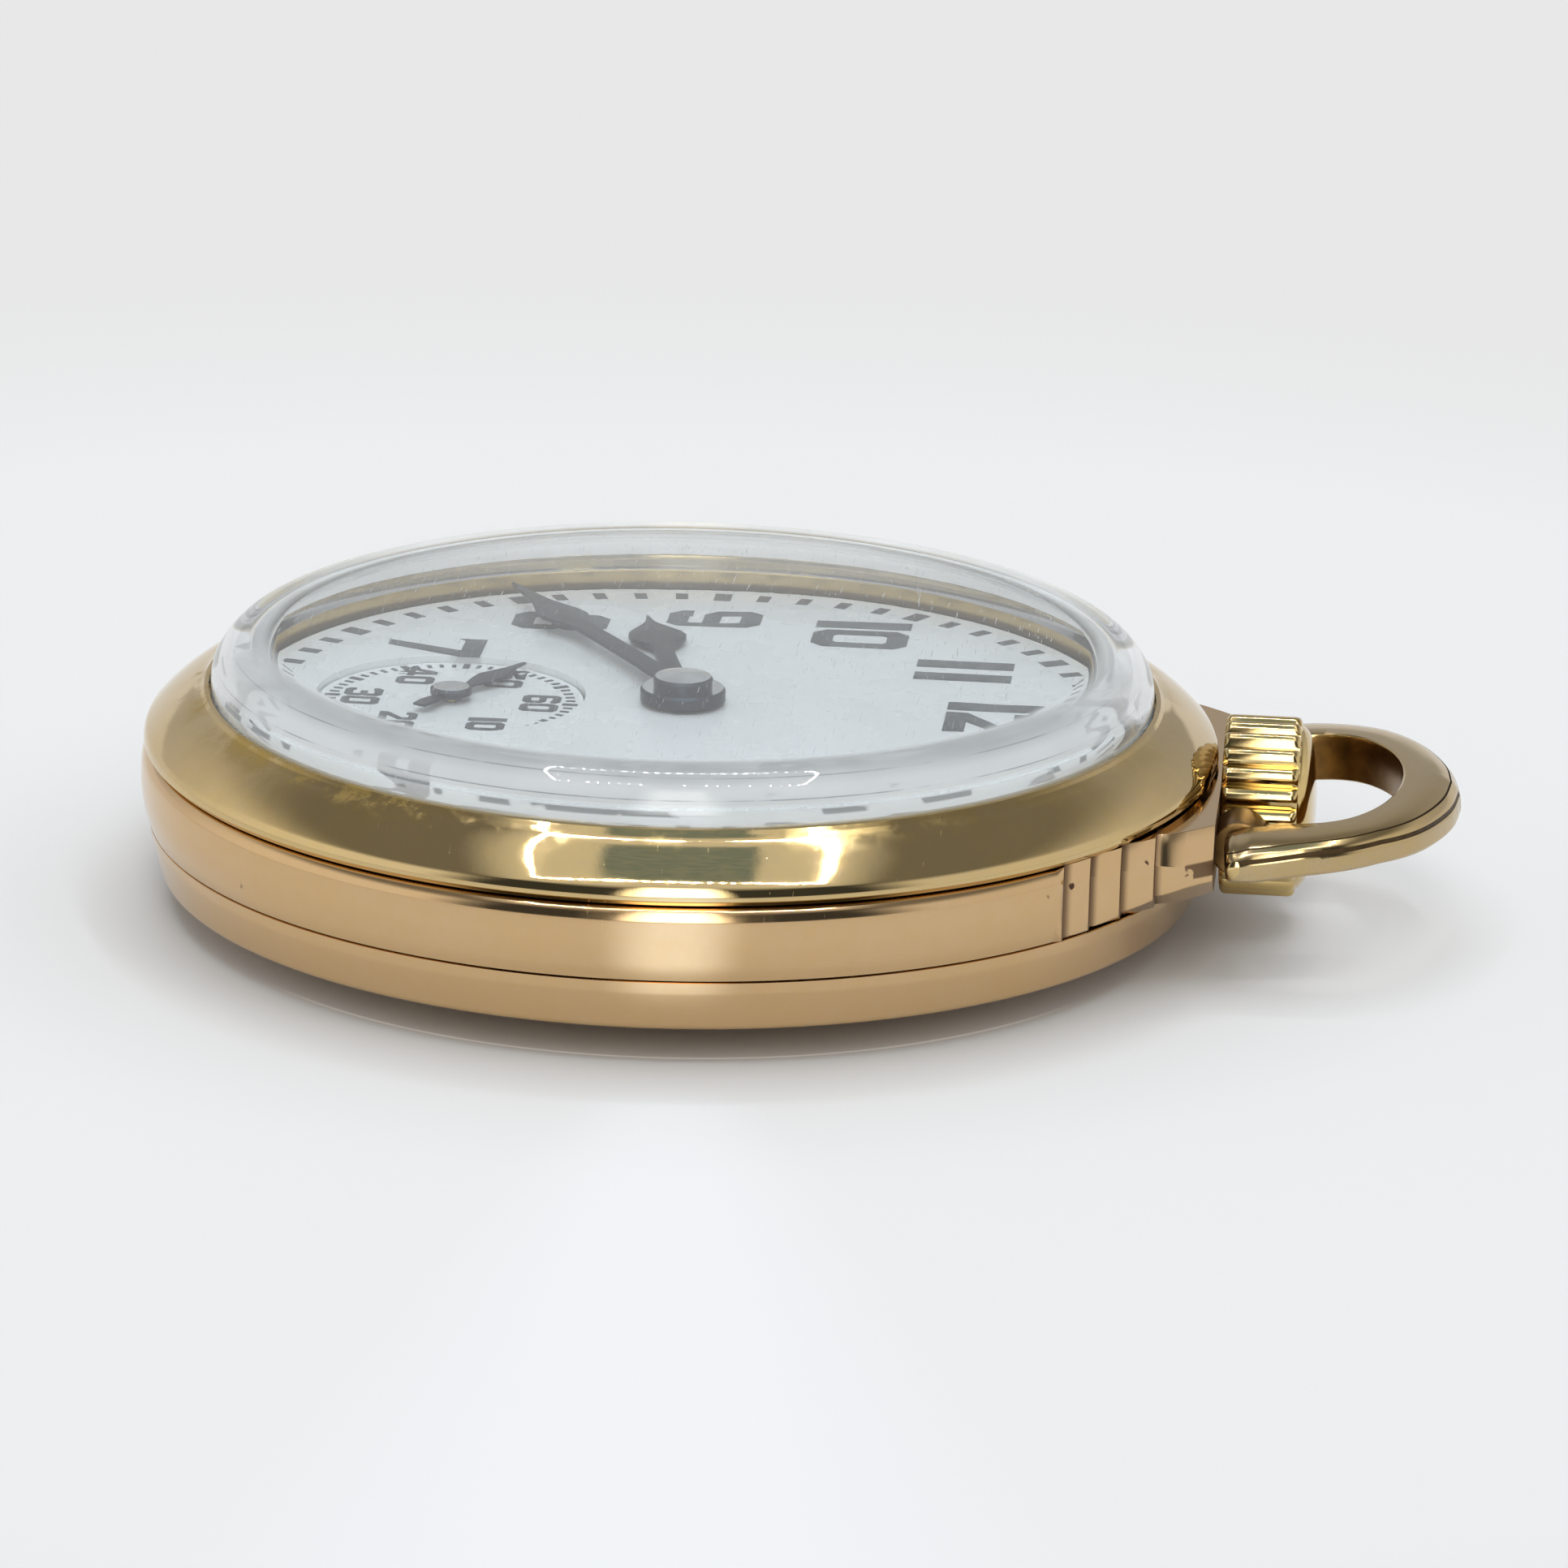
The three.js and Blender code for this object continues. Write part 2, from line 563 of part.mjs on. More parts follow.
function minuteHand() {
  const [low, high] = MINUTE_HAND_Z;
  const outline = handOutline([[0.8, 0.45], [12.5, 0.36], [13.6, 0.62], [19.6, 0]]);
  const blade = plate(outline, [low + 0.02, high - 0.08]);
  const boss = disc(1.4, MINUTE_HAND_Z, CENTER, 20);
  return turnedHand(cut(union(blade, boss), disc(0.86, [8, high - 0.12], CENTER, ROUND)), MINUTE_ANGLE);
}

function secondsHand() {
  const [low, high] = SECONDS_HAND_Z;
  const blade = plate(handOutline([[-2.4, 0.3], [-0.5, 0.2], [5.9, 0.08]]), [low + 0.04, high - 0.04]);
  const boss = disc(0.8, SECONDS_HAND_Z, CENTER, ROUND);
  const bore = disc(0.3, [8, high - 0.08], CENTER, FINE);
  return turnedHand(cut(union(blade, boss), bore), SECONDS_ANGLE, FOURTH);
}

// ---------------------------------------------------------------- motion works

function cannonPinion() {
  const body = union(
    plate(pinionOutline(GEARS.cannon), WHEEL_Z.cannon),
    disc(0.8, [WHEEL_Z.cannon[0], MINUTE_HAND_Z[0] + 0.11], CENTER, ROUND),
  );
  return cut(body, disc(0.5, [6.5, 9.6], CENTER, ROUND));
}

function minuteWheel() {
  const body = union(
    plate(wheelOutline(GEARS.minute), WHEEL_Z.minute),
    plate(pinionOutline(GEARS.minutePinion), PINION_Z.minute),
  );
  return cut(body, disc(0.5, [6.5, 8], MINUTE_WHEEL, FINE));
}

function hourWheel() {
  const pipe = [WHEEL_Z.hour[0], HOUR_HAND_Z[0] + 0.25];
  const body = union(plate(wheelOutline(GEARS.hour), WHEEL_Z.hour), disc(1.24, pipe, CENTER, SMOOTH));
  return cut(body, disc(0.92, [6.5, 9.6], CENTER, SMOOTH));
}

function settingWheel() {
  return plate(wheelOutline(GEARS.setting), WHEEL_Z.setting, [circle(0.6, FINE, SETTING_WHEEL)]);
}

function settingLever() {
  const bore = [circle(0.52, FINE, LEVER_STUD)];
  return union(
    plate(capsule(LEVER_STUD, 1.1, [11.2, 17.6], 0.7), LEVER_Z, bore),
    plate(capsule(LEVER_STUD, 1.0, [2.9, 13.6], 0.5), LEVER_Z, bore),
  );
}

// ---------------------------------------------------------------- movement frame

const PALLET = polar(ESCAPE, PALLET_DISTANCE, bearing(ESCAPE, BALANCE));

function plateOutline() {
  const { halfWidth, innerY } = CHANNEL;
  const mouth = Math.acos(halfWidth / PLATE_R);
  const sides = 36;
  const rim = Array.from({ length: sides + 1 }, (_, i) => {
    return polar(CENTER, PLATE_R, Math.PI - mouth + (i * (Math.PI + 2 * mouth)) / sides);
  });
  return [...rim, [halfWidth, innerY], [-halfWidth, innerY]];
}

function pillarPlate() {
  const base = plate(plateOutline(), PLATE_Z, [
    circle(0.5, FINE, CENTER),
    circle(0.36, FINE, FOURTH),
    ...DIAL_FEET.map((foot) => circle(0.5, FINE, foot)),
  ]);
  const studs = [
    disc(0.42, [STUD_FOOT_Z, 7.6], MINUTE_WHEEL, FINE),
    disc(0.5, [STUD_FOOT_Z, 7.4], SETTING_WHEEL, FINE),
    disc(0.42, [STUD_FOOT_Z, 7.4], LEVER_STUD, FINE),
  ];
  const blind = [THIRD, ESCAPE, PALLET, BALANCE].map((at) => disc(0.3, [5, PIVOT_TOP_Z + 0.05], at, FINE));
  return cut(
    union(base, ...studs),
    ...blind,
    disc(ARBOR_R + 0.08, [5, 5.9], BARREL, FINE),
    alongStem(STEM_R + 0.05, [10.9, 13], 12),
    ...[-1, 1].map((side) => disc(SCREW_BORE_R, [5, 6.6], [side * CASE_SCREW_X, CASE_SCREW_Y], FINE)),
  );
}

function bridgeDisc() {
  return disc(BRIDGE_R, BRIDGE_Z, CENTER, 36);
}

function cockFootprint(grow) {
  return capsule(BALANCE, 2.2 + grow, COCK_FOOT, 2.5 + grow, 16);
}

const BALANCE_CLEARANCE_R = 8.5;
const EDGE = 30; // beyond the rim of the movement

function screwHole(at) {
  return disc(SCREW_BORE_R, [BRIDGE_Z[0] - 1, SCREW_TOP_Z + 0.2], at, FINE);
}

function barrelBridge() {
  const pillars = BARREL_PILLARS.map((at) => disc(1.5, [BRIDGE_Z[0] + 0.1, PILLAR_TOP_Z], at, FINE));
  const body = cut(
    bridgeDisc(),
    block([-EDGE, EDGE], [-EDGE, SPLIT_Y + 0.1], ALL_Z),
    disc(BALANCE_CLEARANCE_R, ALL_Z, BALANCE, 24),
    plate(cockFootprint(0.3), ALL_Z),
    block([-EDGE, -13], [-EDGE, 6.5], ALL_Z),
  );
  return cut(
    union(body, ...pillars),
    disc(3.4, ALL_Z, CROWN_WHEEL, 24),
    disc(ARBOR_BORE_R, ALL_Z, BARREL, FINE),
    ...BARREL_PILLARS.slice(0, 2).map(screwHole),
  );
}

function trainBridge() {
  const pillars = TRAIN_PILLARS.map((at) => disc(1.4, [BRIDGE_Z[0] + 0.1, PILLAR_TOP_Z], at, FINE));
  const body = cut(
    bridgeDisc(),
    block([-EDGE, EDGE], [SPLIT_Y, EDGE], ALL_Z),
    disc(BALANCE_CLEARANCE_R, ALL_Z, BALANCE, 24),
    block([-EDGE, -12.5], [-EDGE, EDGE], ALL_Z),
  );
  return cut(
    union(body, ...pillars),
    ...[CENTER, THIRD, FOURTH, ESCAPE].map((at) => disc(0.34, [PIVOT_FOOT_Z - 0.05, 9], at, FINE)),
    ...TRAIN_PILLARS.slice(0, 2).map(screwHole),
  );
}

const COCK_Z = [1.6, 2.15];

function balanceCock() {
  const body = union(
    plate(cockFootprint(0), COCK_Z),
    disc(2.2, [COCK_Z[0] + 0.1, PILLAR_TOP_Z], COCK_FOOT, 16),
  );
  const pivotHole = disc(0.34, [1.85, 9], BALANCE, FINE);
  const shankHole = disc(SCREW_BORE_R, [0, SCREW_TOP_Z + 0.2], COCK_FOOT, FINE);
  return cut(body, pivotHole, shankHole);
}

function palletBridge() {
  const body = union(
    plate(capsule(PALLET, 0.9, PALLET_FOOT, 1.1), [3.2, 3.46]),
    disc(1.1, [3.3, PILLAR_TOP_Z], PALLET_FOOT, 10),
  );
  return cut(body, disc(0.26, [3.27, 9], PALLET, FINE));
}

// ---------------------------------------------------------------- winding and power

// Face teeth of the crown wheel, turned to lie under the winding pinion.
function crownWheel() {
  const [inner, outer] = [2.6, 3.1];
  const top = 4.3;
  const gullet = 0.35;
  const walls = [WINDING_Z[0] + 0.1, top];
  const drum = plate(circle(outer, 18, CROWN_WHEEL), walls, [circle(inner, 18, CROWN_WHEEL)]);
  const gullets = Array.from({ length: TEETH.contrate / 2 }, (_, i) => {
    const bar = block([-4, 4], [-0.27, 0.27], [top - gullet, top + 1]);
    return bar.rotate([0, 0, (i + 0.25) * (360 / TEETH.contrate)]).translate([...CROWN_WHEEL, 0]);
  });
  const rim = plate(wheelOutline(GEARS.crown), WINDING_Z, [circle(1.3, 12, CROWN_WHEEL)]);
  return union(rim, cut(drum, ...gullets));
}

// Post that the crown wheel turns on, carried by a strap under the plate.
function crownWheelCore() {
  const [x, y] = CROWN_WHEEL;
  const strap = [4.36, 4.55];
  return union(
    disc(1.2, [1.1, strap[1]], CROWN_WHEEL, 12),
    disc(1.9, [1.02, 1.2], CROWN_WHEEL, 16),
    block([x - 4.2, x + 4.2], [y - 0.6, y + 0.6], strap),
    block([x - 4.2, x - 3.4], [y - 0.6, y + 0.6], [strap[0], PILLAR_TOP_Z]),
    block([x + 3.4, x + 4.2], [y - 0.6, y + 0.6], [strap[0], PILLAR_TOP_Z]),
  );
}

function ratchetWheel() {
  return plate(wheelOutline(GEARS.ratchet), WINDING_Z, [circle(0.58, 4, BARREL)]);
}

function ratchetScrew() {
  return screw(BARREL, [0.98, 1.2], 1.22, 1.3);
}

function click() {
  const beak = polar(BARREL, RATCHET_PITCH + 0.32, bearing(BARREL, CLICK) + 0.32);
  return plate(capsule(CLICK, 0.8, beak, 0.12), CLICK_Z, [circle(0.42, FINE, CLICK)]);
}

function clickSpring() {
  const [root, tip] = [[-9.2, 9.6], [-4.6, 9.55]];
  return plate(capsule(root, 0.18, tip, 0.1), [CLICK_Z[0] + 0.05, CLICK_Z[1]]);
}

function barrel() {
  const rim = plate(wheelOutline(GEARS.barrel), WHEEL_Z.barrel, [circle(ARBOR_BORE_R, FINE, BARREL)]);
  const wallZ = [3.36, WHEEL_Z.barrel[0] + 0.05];
  const wall = plate(circle(DRUM_R, 28, BARREL), wallZ, [circle(DRUM_BORE_R, 28, BARREL)]);
  return union(rim, wall);
}

function barrelLid() {
  return plate(circle(DRUM_R - 0.05, 28, BARREL), [3.1, 3.3], [circle(ARBOR_BORE_R, FINE, BARREL)]);
}

function barrelArbor() {
  const square = disc(0.5, [WINDING_Z[0] + 0.02, 1.68], BARREL, 4);
  return union(square, shaft([[ARBOR_R, 1.65, 5.85], [1.1, 3.4, 4.12]], BARREL));
}

// Flat coil of strip, from the inner radius to the outer one.
function coil(centre, [inner, outer], turns, thickness, heights) {
  const stepsPerTurn = 10;
  const steps = turns * stepsPerTurn;
  const edge = (offset) => Array.from({ length: steps + 1 }, (_, i) => {
    const angle = (i * 2 * Math.PI) / stepsPerTurn;
    return polar(centre, inner + ((outer - inner) * i) / steps + offset, angle);
  });
  return plate([...edge(thickness / 2), ...edge(-thickness / 2).reverse()], heights);
}

function mainspring() {
  return coil(BARREL, [1.5, 6.3], 4, 0.22, [3.42, 4.1]);
}

function clutchWheel() {
  return cut(alongStem(1.3, [12.75, 15.1], 16), alongStem(STEM_R + RUN, [12, 16], 12));
}

function windingPinion() {
  const pitch = (2.85 * TEETH.windingPinion) / TEETH.contrate;
  const outline = toothed(TEETH.windingPinion, pitch - 0.4, pitch - 0.05, { rootWidth: 0.5, tipWidth: 0.2 });
  const upright = plate(outline, [15.3, 17.5], [circle(STEM_R + RUN, 12)]);
  return upright.rotate([-90, 0, 0]).translate([0, 0, STEM_Z]);
}

// ---------------------------------------------------------------- train

function centerWheel() {
  return union(
    plate(wheelOutline(GEARS.center), WHEEL_Z.center, windows(CENTER, 1.8, 5.9)),
    plate(pinionOutline(GEARS.centerPinion), PINION_Z.center),
    shaft([[0.27, PIVOT_FOOT_Z, 2.7], [0.42, 2.66, MINUTE_HAND_Z[0] + 0.06]], CENTER),
  );
}

function thirdWheel() {
  return union(
    plate(wheelOutline(GEARS.third), WHEEL_Z.third, windows(THIRD, 1.4, 5.9)),
    plate(pinionOutline(GEARS.thirdPinion), PINION_Z.third),
    shaft([[0.22, PIVOT_FOOT_Z, PIVOT_TOP_Z], [0.4, 2.66, 5.1]], THIRD),
  );
}

function fourthWheel() {
  return union(
    plate(wheelOutline(GEARS.fourth), WHEEL_Z.fourth, windows(FOURTH, 1.2, 4.4)),
    plate(pinionOutline(GEARS.fourthPinion), PINION_Z.fourth),
    shaft([[0.22, PIVOT_FOOT_Z, SECONDS_HAND_Z[0] + 0.1], [0.4, 2.7, 4.6]], FOURTH),
  );
}

function escapeWheel() {
  const root = 2.35;
  const tip = 3.15;
  const pitch = (2 * Math.PI) / TEETH.escape;
  const outline = Array.from({ length: TEETH.escape }, (_, i) => [
    [root, i * pitch], [tip, (i + 0.3) * pitch], [tip - 0.1, (i + 0.48) * pitch],
  ]).flat().map(([radius, angle]) => polar(ESCAPE, radius, angle));
  return union(
    plate(outline, WHEEL_Z.escape),
    plate(pinionOutline(GEARS.escapePinion), PINION_Z.escape),
    shaft([[0.2, PIVOT_FOOT_Z, PIVOT_TOP_Z], [0.32, 2.7, 5.1]], ESCAPE),
  );
}

function palletFork() {
  const toBalance = bearing(PALLET, BALANCE);
  const reach = distance(PALLET, BALANCE) - 1.35;
  const tip = polar(PALLET, reach, toBalance);
  const stones = [-1, 1].map((side) => polar(ESCAPE, 3.78, bearing(ESCAPE, PALLET) + side * 0.53));
  const horns = [-1, 1].map((side) => plate(
    capsule(tip, 0.18, polar(tip, 0.75, toBalance + side * 0.6), 0.12, 6),
    WHEEL_Z.pallet,
  ));
  return union(
    plate(capsule(PALLET, 0.5, tip, 0.25), WHEEL_Z.pallet),
    ...horns,
    ...stones.map((stone) => plate(capsule(PALLET, 0.4, stone, 0.24, 8), WHEEL_Z.pallet)),
    disc(0.17, [3.3, PIVOT_TOP_Z], PALLET, FINE),
  );
}

function balanceWheel() {
  const [x, y] = BALANCE;
  const rim = plate(circle(7.55, 32, BALANCE), BALANCE_RIM_Z, [circle(6.85, 32, BALANCE)]);
  const arm = block([x - 7.1, x + 7.1], [y - 0.45, y + 0.45], BALANCE_ARM_Z);
  return union(
    rim,
    arm,
    disc(0.85, [HAIRSPRING_Z[0], BALANCE_ARM_Z[1]], BALANCE, ROUND),
    disc(1.4, [3.3, 3.55], BALANCE, SMOOTH),
    shaft([[0.2, 1.92, PIVOT_TOP_Z], [0.4, 2.3, 5.0]], BALANCE),
  );
}

function hairspring() {
  return coil(BALANCE, [1.05, 4.6], 4, 0.1, HAIRSPRING_Z);
}

function hairspringStud() {
  const at = polar(BALANCE, 5.2, bearing(BALANCE, COCK_FOOT));
  return disc(0.4, [2.2, 2.44], at, FINE);
}

function regulator() {
  const tip = polar(BALANCE, 7.2, bearing(BALANCE, COCK_FOOT));
  return union(
    disc(1.7, REGULATOR_Z, BALANCE, 20),
    plate(capsule(BALANCE, 0.5, tip, 0.12), REGULATOR_Z),
  );
}

function bridgeScrew(at) {
  return screw(at, [1.38, 1.66], SCREW_TOP_Z);
}

// ---------------------------------------------------------------- assembly

const PARTS = [
  ['crystal', crystal(), ACRYLIC],
  ['bezel', bezel(), YELLOW_GOLD],
  ['case_middle', caseMiddle(), ROSE_GOLD],
  ['case_back', caseBack(), ROSE_GOLD],
  ['bow', bow(), BOW_GOLD],
  ['bow_pin_right', bowPin(1), CROWN_GOLD],
  ['bow_pin_left', bowPin(-1), CROWN_GOLD],
  ['crown', crown(), CROWN_GOLD],
  ['pendant_sleeve', pendantSleeve(), STEEL],
  ['winding_stem', windingStem(), STEEL],
  ['winding_pinion', windingPinion(), STEEL],
  ['clutch_wheel', clutchWheel(), STEEL],
  ['dial', dial(), ENAMEL],
  ['seconds_dial', secondsDial(), ENAMEL],
  ['hour_hand', hourHand(), BLUED],
  ['minute_hand', minuteHand(), BLUED],
  ['seconds_hand', secondsHand(), BLUED],
  ['cannon_pinion', cannonPinion(), STEEL],
  ['minute_wheel', minuteWheel(), BRASS],
  ['hour_wheel', hourWheel(), BRASS],
  ['setting_wheel', settingWheel(), STEEL],
  ['setting_lever', settingLever(), STEEL],
  ['pillar_plate', pillarPlate(), NICKEL],
  ['barrel_bridge', barrelBridge(), NICKEL],
  ['train_bridge', trainBridge(), NICKEL],
  ['balance_cock', balanceCock(), NICKEL],
  ['pallet_bridge', palletBridge(), NICKEL],
  ['crown_wheel', crownWheel(), STEEL],
  ['crown_wheel_core', crownWheelCore(), STEEL],
  ['ratchet_wheel', ratchetWheel(), STEEL],
  ['ratchet_screw', ratchetScrew(), BLUED],
  ['click', click(), STEEL],
  ['click_spring', clickSpring(), STEEL],
  ['mainspring_barrel', barrel(), BRASS],
  ['barrel_lid', barrelLid(), BRASS],
  ['barrel_arbor', barrelArbor(), STEEL],
  ['mainspring', mainspring(), STEEL],
  ['center_wheel', centerWheel(), BRASS],
  ['third_wheel', thirdWheel(), BRASS],
  ['fourth_wheel', fourthWheel(), BRASS],
  ['escape_wheel', escapeWheel(), STEEL],
  ['pallet_fork', palletFork(), STEEL],
  ['balance_wheel', balanceWheel(), BRASS],
  ['hairspring', hairspring(), BLUED],
  ['hairspring_stud', hairspringStud(), STEEL],
  ['regulator', regulator(), STEEL],
  ['case_screw_right', caseScrew(1), BLUED],
  ['case_screw_left', caseScrew(-1), BLUED],
  ['barrel_bridge_screw_left', bridgeScrew(BARREL_PILLARS[0]), BLUED],
  ['barrel_bridge_screw_right', bridgeScrew(BARREL_PILLARS[1]), BLUED],
  ['train_bridge_screw_right', bridgeScrew(TRAIN_PILLARS[0]), BLUED],
  ['train_bridge_screw_left', bridgeScrew(TRAIN_PILLARS[1]), BLUED],
  ['balance_cock_screw', screw(COCK_FOOT, [1.28, 1.56], SCREW_TOP_Z), BLUED],
];

function mesh(name, body, look) {
  const { vertProperties, triVerts, numProp } = body.getMesh();
  const position = new Float32Array((vertProperties.length / numProp) * 3);
  for (let i = 0; i < position.length / 3; i += 1) {
    for (let k = 0; k < 3; k += 1) position[i * 3 + k] = vertProperties[i * numProp + k];
  }
  const geometry = new THREE.BufferGeometry();
  geometry.setAttribute('position', new THREE.BufferAttribute(position, 3));
  geometry.setIndex(new THREE.BufferAttribute(new Uint32Array(triVerts), 1));
  const flat = geometry.toNonIndexed();
  flat.computeVertexNormals();
  const part = new THREE.Mesh(flat, new THREE.MeshStandardMaterial(look));
  part.name = name;
  return part;
}

const watch = new THREE.Group();
watch.name = 'pocket_watch';
for (const [name, body, look] of PARTS) watch.add(mesh(name, body, look));

export default watch;
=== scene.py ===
# Looks of an open face pocket watch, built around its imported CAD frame.
#
# Shapes are written in millimetres in the watch's own frame and become metres in add_mesh().
# +Z points out of the dial, +Y towards 12 o'clock and the crown, +X towards 3 o'clock.

import json
import math

import bmesh
import bpy
import numpy as np
from mathutils import Matrix, Vector


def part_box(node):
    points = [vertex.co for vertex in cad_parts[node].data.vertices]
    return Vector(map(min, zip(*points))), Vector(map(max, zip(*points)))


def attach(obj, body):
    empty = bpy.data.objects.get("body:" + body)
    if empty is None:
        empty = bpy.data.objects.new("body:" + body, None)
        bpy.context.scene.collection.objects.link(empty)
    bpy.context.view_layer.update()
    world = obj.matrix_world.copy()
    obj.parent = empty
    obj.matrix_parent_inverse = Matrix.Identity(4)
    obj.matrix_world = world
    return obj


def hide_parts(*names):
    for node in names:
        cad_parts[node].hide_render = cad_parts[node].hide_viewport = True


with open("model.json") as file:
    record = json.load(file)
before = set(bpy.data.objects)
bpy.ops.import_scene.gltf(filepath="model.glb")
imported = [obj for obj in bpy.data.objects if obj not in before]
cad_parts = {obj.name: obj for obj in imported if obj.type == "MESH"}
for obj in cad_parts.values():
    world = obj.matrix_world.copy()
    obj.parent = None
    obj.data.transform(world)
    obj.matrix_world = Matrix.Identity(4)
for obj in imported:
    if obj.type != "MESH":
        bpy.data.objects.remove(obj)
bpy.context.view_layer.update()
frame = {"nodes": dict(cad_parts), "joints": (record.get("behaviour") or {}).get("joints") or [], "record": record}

MM = 0.001
LIFT = 0.45  # of the dial and the hands in millimetres: they stand close under the crystal


def low(node):
    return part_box(node)[0] / MM


def high(node):
    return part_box(node)[1] / MM


def middle(node):
    return (low(node) + high(node)) / 2


JOINTS = {joint["name"]: joint for joint in frame["joints"]}

# ---------------------------------------------------------------- dimensions from the frame

BAND_R = high("case_middle").x
BEZEL_R = high("bezel").x
CRYSTAL_R = high("crystal").x
BACK_R = high("case_back").x
CRYSTAL_SEAM = high("bezel").z
CRYSTAL_TOP = high("crystal").z
CRYSTAL_FOOT = low("crystal").z
BEZEL_SEAM = high("case_middle").z
BEZEL_FOOT = low("bezel").z
BACK_SEAM = low("case_middle").z
BACK_RIM = BACK_SEAM - 0.06
BACK_LIP = high("case_back").z
DIAL_TOP = high("dial").z + LIFT
DIAL_R = 20.6
SECONDS_TOP = high("seconds_dial").z + LIFT - 0.1
SECONDS_AT = middle("seconds_dial")
SECONDS_R = high("seconds_dial").x
PIVOT = Vector(JOINTS["bow_swing"]["pos_m"]) / MM
STEM_Z = PIVOT.z
CROWN_R = 4.2
CROWN_TIP = high("crown").y
THREAD_R = 23.4
SHELF = (5.15, 6.65)
SHELF_R = 21.8
SHOULDER_END = 25.35
BOW_RAISED = math.radians(4.8)
RIDGES = [(18.9, 16.6), (20.0, 15.1), (21.3, 13.55), (22.75, 12.0)]  # the shoulders' steps: y and half width

SEGMENTS = 256

# ---------------------------------------------------------------- mesh helpers


def add_mesh(name, points, faces, body, slot, material, replaces=(), smooth=32):
    """Object from points in millimetres. It rides on a body and stands for the CAD nodes in replaces."""
    mesh = bpy.data.meshes.new(name)
    mesh.from_pydata([Vector(p) * MM for p in points], [], faces)
    return finish_mesh(name, mesh, body, material, replaces, smooth)


def finish_mesh(name, mesh, body, material, replaces=(), smooth=32, bevel=0.0):
    work = bmesh.new()
    work.from_mesh(mesh)
    bmesh.ops.remove_doubles(work, verts=work.verts, dist=1e-7)
    bmesh.ops.dissolve_degenerate(work, edges=work.edges, dist=1e-8)
    bmesh.ops.recalc_face_normals(work, faces=work.faces)
    work.to_mesh(mesh)
    work.free()
    for polygon in mesh.polygons:
        polygon.use_smooth = True
    mesh.set_sharp_from_angle(angle=math.radians(smooth))
    piece = bpy.data.objects.new(name, mesh)
    bpy.context.scene.collection.objects.link(piece)
    piece.data.materials.append(material)
    if bevel:
        rounding = piece.modifiers.new("rounding", "BEVEL")
        rounding.width = bevel * MM
        rounding.segments = 2
        rounding.limit_method = "ANGLE"
        rounding.angle_limit = math.radians(30)
        rounding.use_clamp_overlap = True
    weighted = piece.modifiers.new("normals", "WEIGHTED_NORMAL")
    weighted.keep_sharp = True
    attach(piece, body)
    if replaces:
        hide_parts(*replaces)
    return piece


def share_of_way(value, start, end):
    return min(1.0, max(0.0, (value - start) / (end - start)))


def curve_through(points, count):
    """Smooth line of count + 1 points through the given ones (Catmull-Rom)."""
    line = [np.array(p, float) for p in points]
    line = [2 * line[0] - line[1], *line, 2 * line[-1] - line[-2]]
    spans = len(line) - 3
    made = []
    for i in range(count + 1):
        along = i * spans / count
        k = min(int(along), spans - 1)
        t = along - k
        a, b, c, d = line[k : k + 4]
        made.append(tuple(0.5 * (
            2 * b + (c - a) * t + (2 * a - 5 * b + 4 * c - d) * t**2 + (3 * b - a - 3 * c + d) * t**3
        )))
    return made


def filleted(points, radius, steps=3):
    """The line with its corners rounded. A point may carry its own radius as a third number."""
    made = []
    for i, point in enumerate(points):
        here = np.array(point[:2], float)
        wanted = point[2] if len(point) > 2 else radius
        if wanted == 0 or i in (0, len(points) - 1):
            made.append(tuple(here))
            continue
        before = np.array(points[i - 1][:2], float) - here
        after = np.array(points[i + 1][:2], float) - here
        to_before, to_after = np.linalg.norm(before), np.linalg.norm(after)
        before, after = before / to_before, after / to_after
        cosine = float(np.clip(before @ after, -1, 1))
        half = math.acos(cosine) / 2
        if half > math.radians(88):  # nearly straight
            made.append(tuple(here))
            continue
        reach = min(wanted / math.tan(half), 0.45 * to_before, 0.45 * to_after)
        for k in range(steps + 1):
            t = k / steps
            made.append(tuple(here + before * reach * (1 - t) ** 2 + after * reach * t**2))
    return made


def lathe(profile, centre=(0, 0), segments=SEGMENTS):
    """Points and faces of the solid turned about +Z from a closed loop of [radius, height] points,
    or from an open line whose two ends are on the axis."""
    points, rings = [], []
    for radius, height in profile:
        if radius < 1e-6:
            rings.append([len(points)])
            points.append((centre[0], centre[1], height))
            continue
        rings.append(list(range(len(points), len(points) + segments)))
        for i in range(segments):
            angle = 2 * math.pi * i / segments
            points.append((*turned((radius, 0), angle, centre), height))
    open_line = len(rings[0]) == 1
    pairs = list(zip(rings, rings[1:])) + ([] if open_line else [(rings[-1], rings[0])])
    faces = []
    for first, second in pairs:
        for i in range(segments):
            j = (i + 1) % segments
            if len(first) == 1:
                faces.append((first[0], second[i], second[j]))
            elif len(second) == 1:
                faces.append((first[i], first[j], second[0]))
            else:
                faces.append((first[i], first[j], second[j], second[i]))
    return points, faces


def swept(sections, closed=True):
    """Points and faces of the skin over sections with equal numbers of points. An open row gets flat ends."""
    count = len(sections[0])
    points = [p for section in sections for p in section]
    faces = []
    rows = len(sections)
    for s in range(rows if closed else rows - 1):
        for i in range(count):
            j = (i + 1) % count
            a, b = s * count, ((s + 1) % rows) * count
            faces.append((a + i, a + j, b + j, b + i))
    if not closed:
        faces.append(tuple(reversed(range(count))))
        faces.append(tuple(range((rows - 1) * count, rows * count)))
    return points, faces


def turned(point, angle, at=(0, 0)):
    c, s = math.cos(angle), math.sin(angle)
    return (at[0] + c * point[0] - s * point[1], at[1] + s * point[0] + c * point[1])


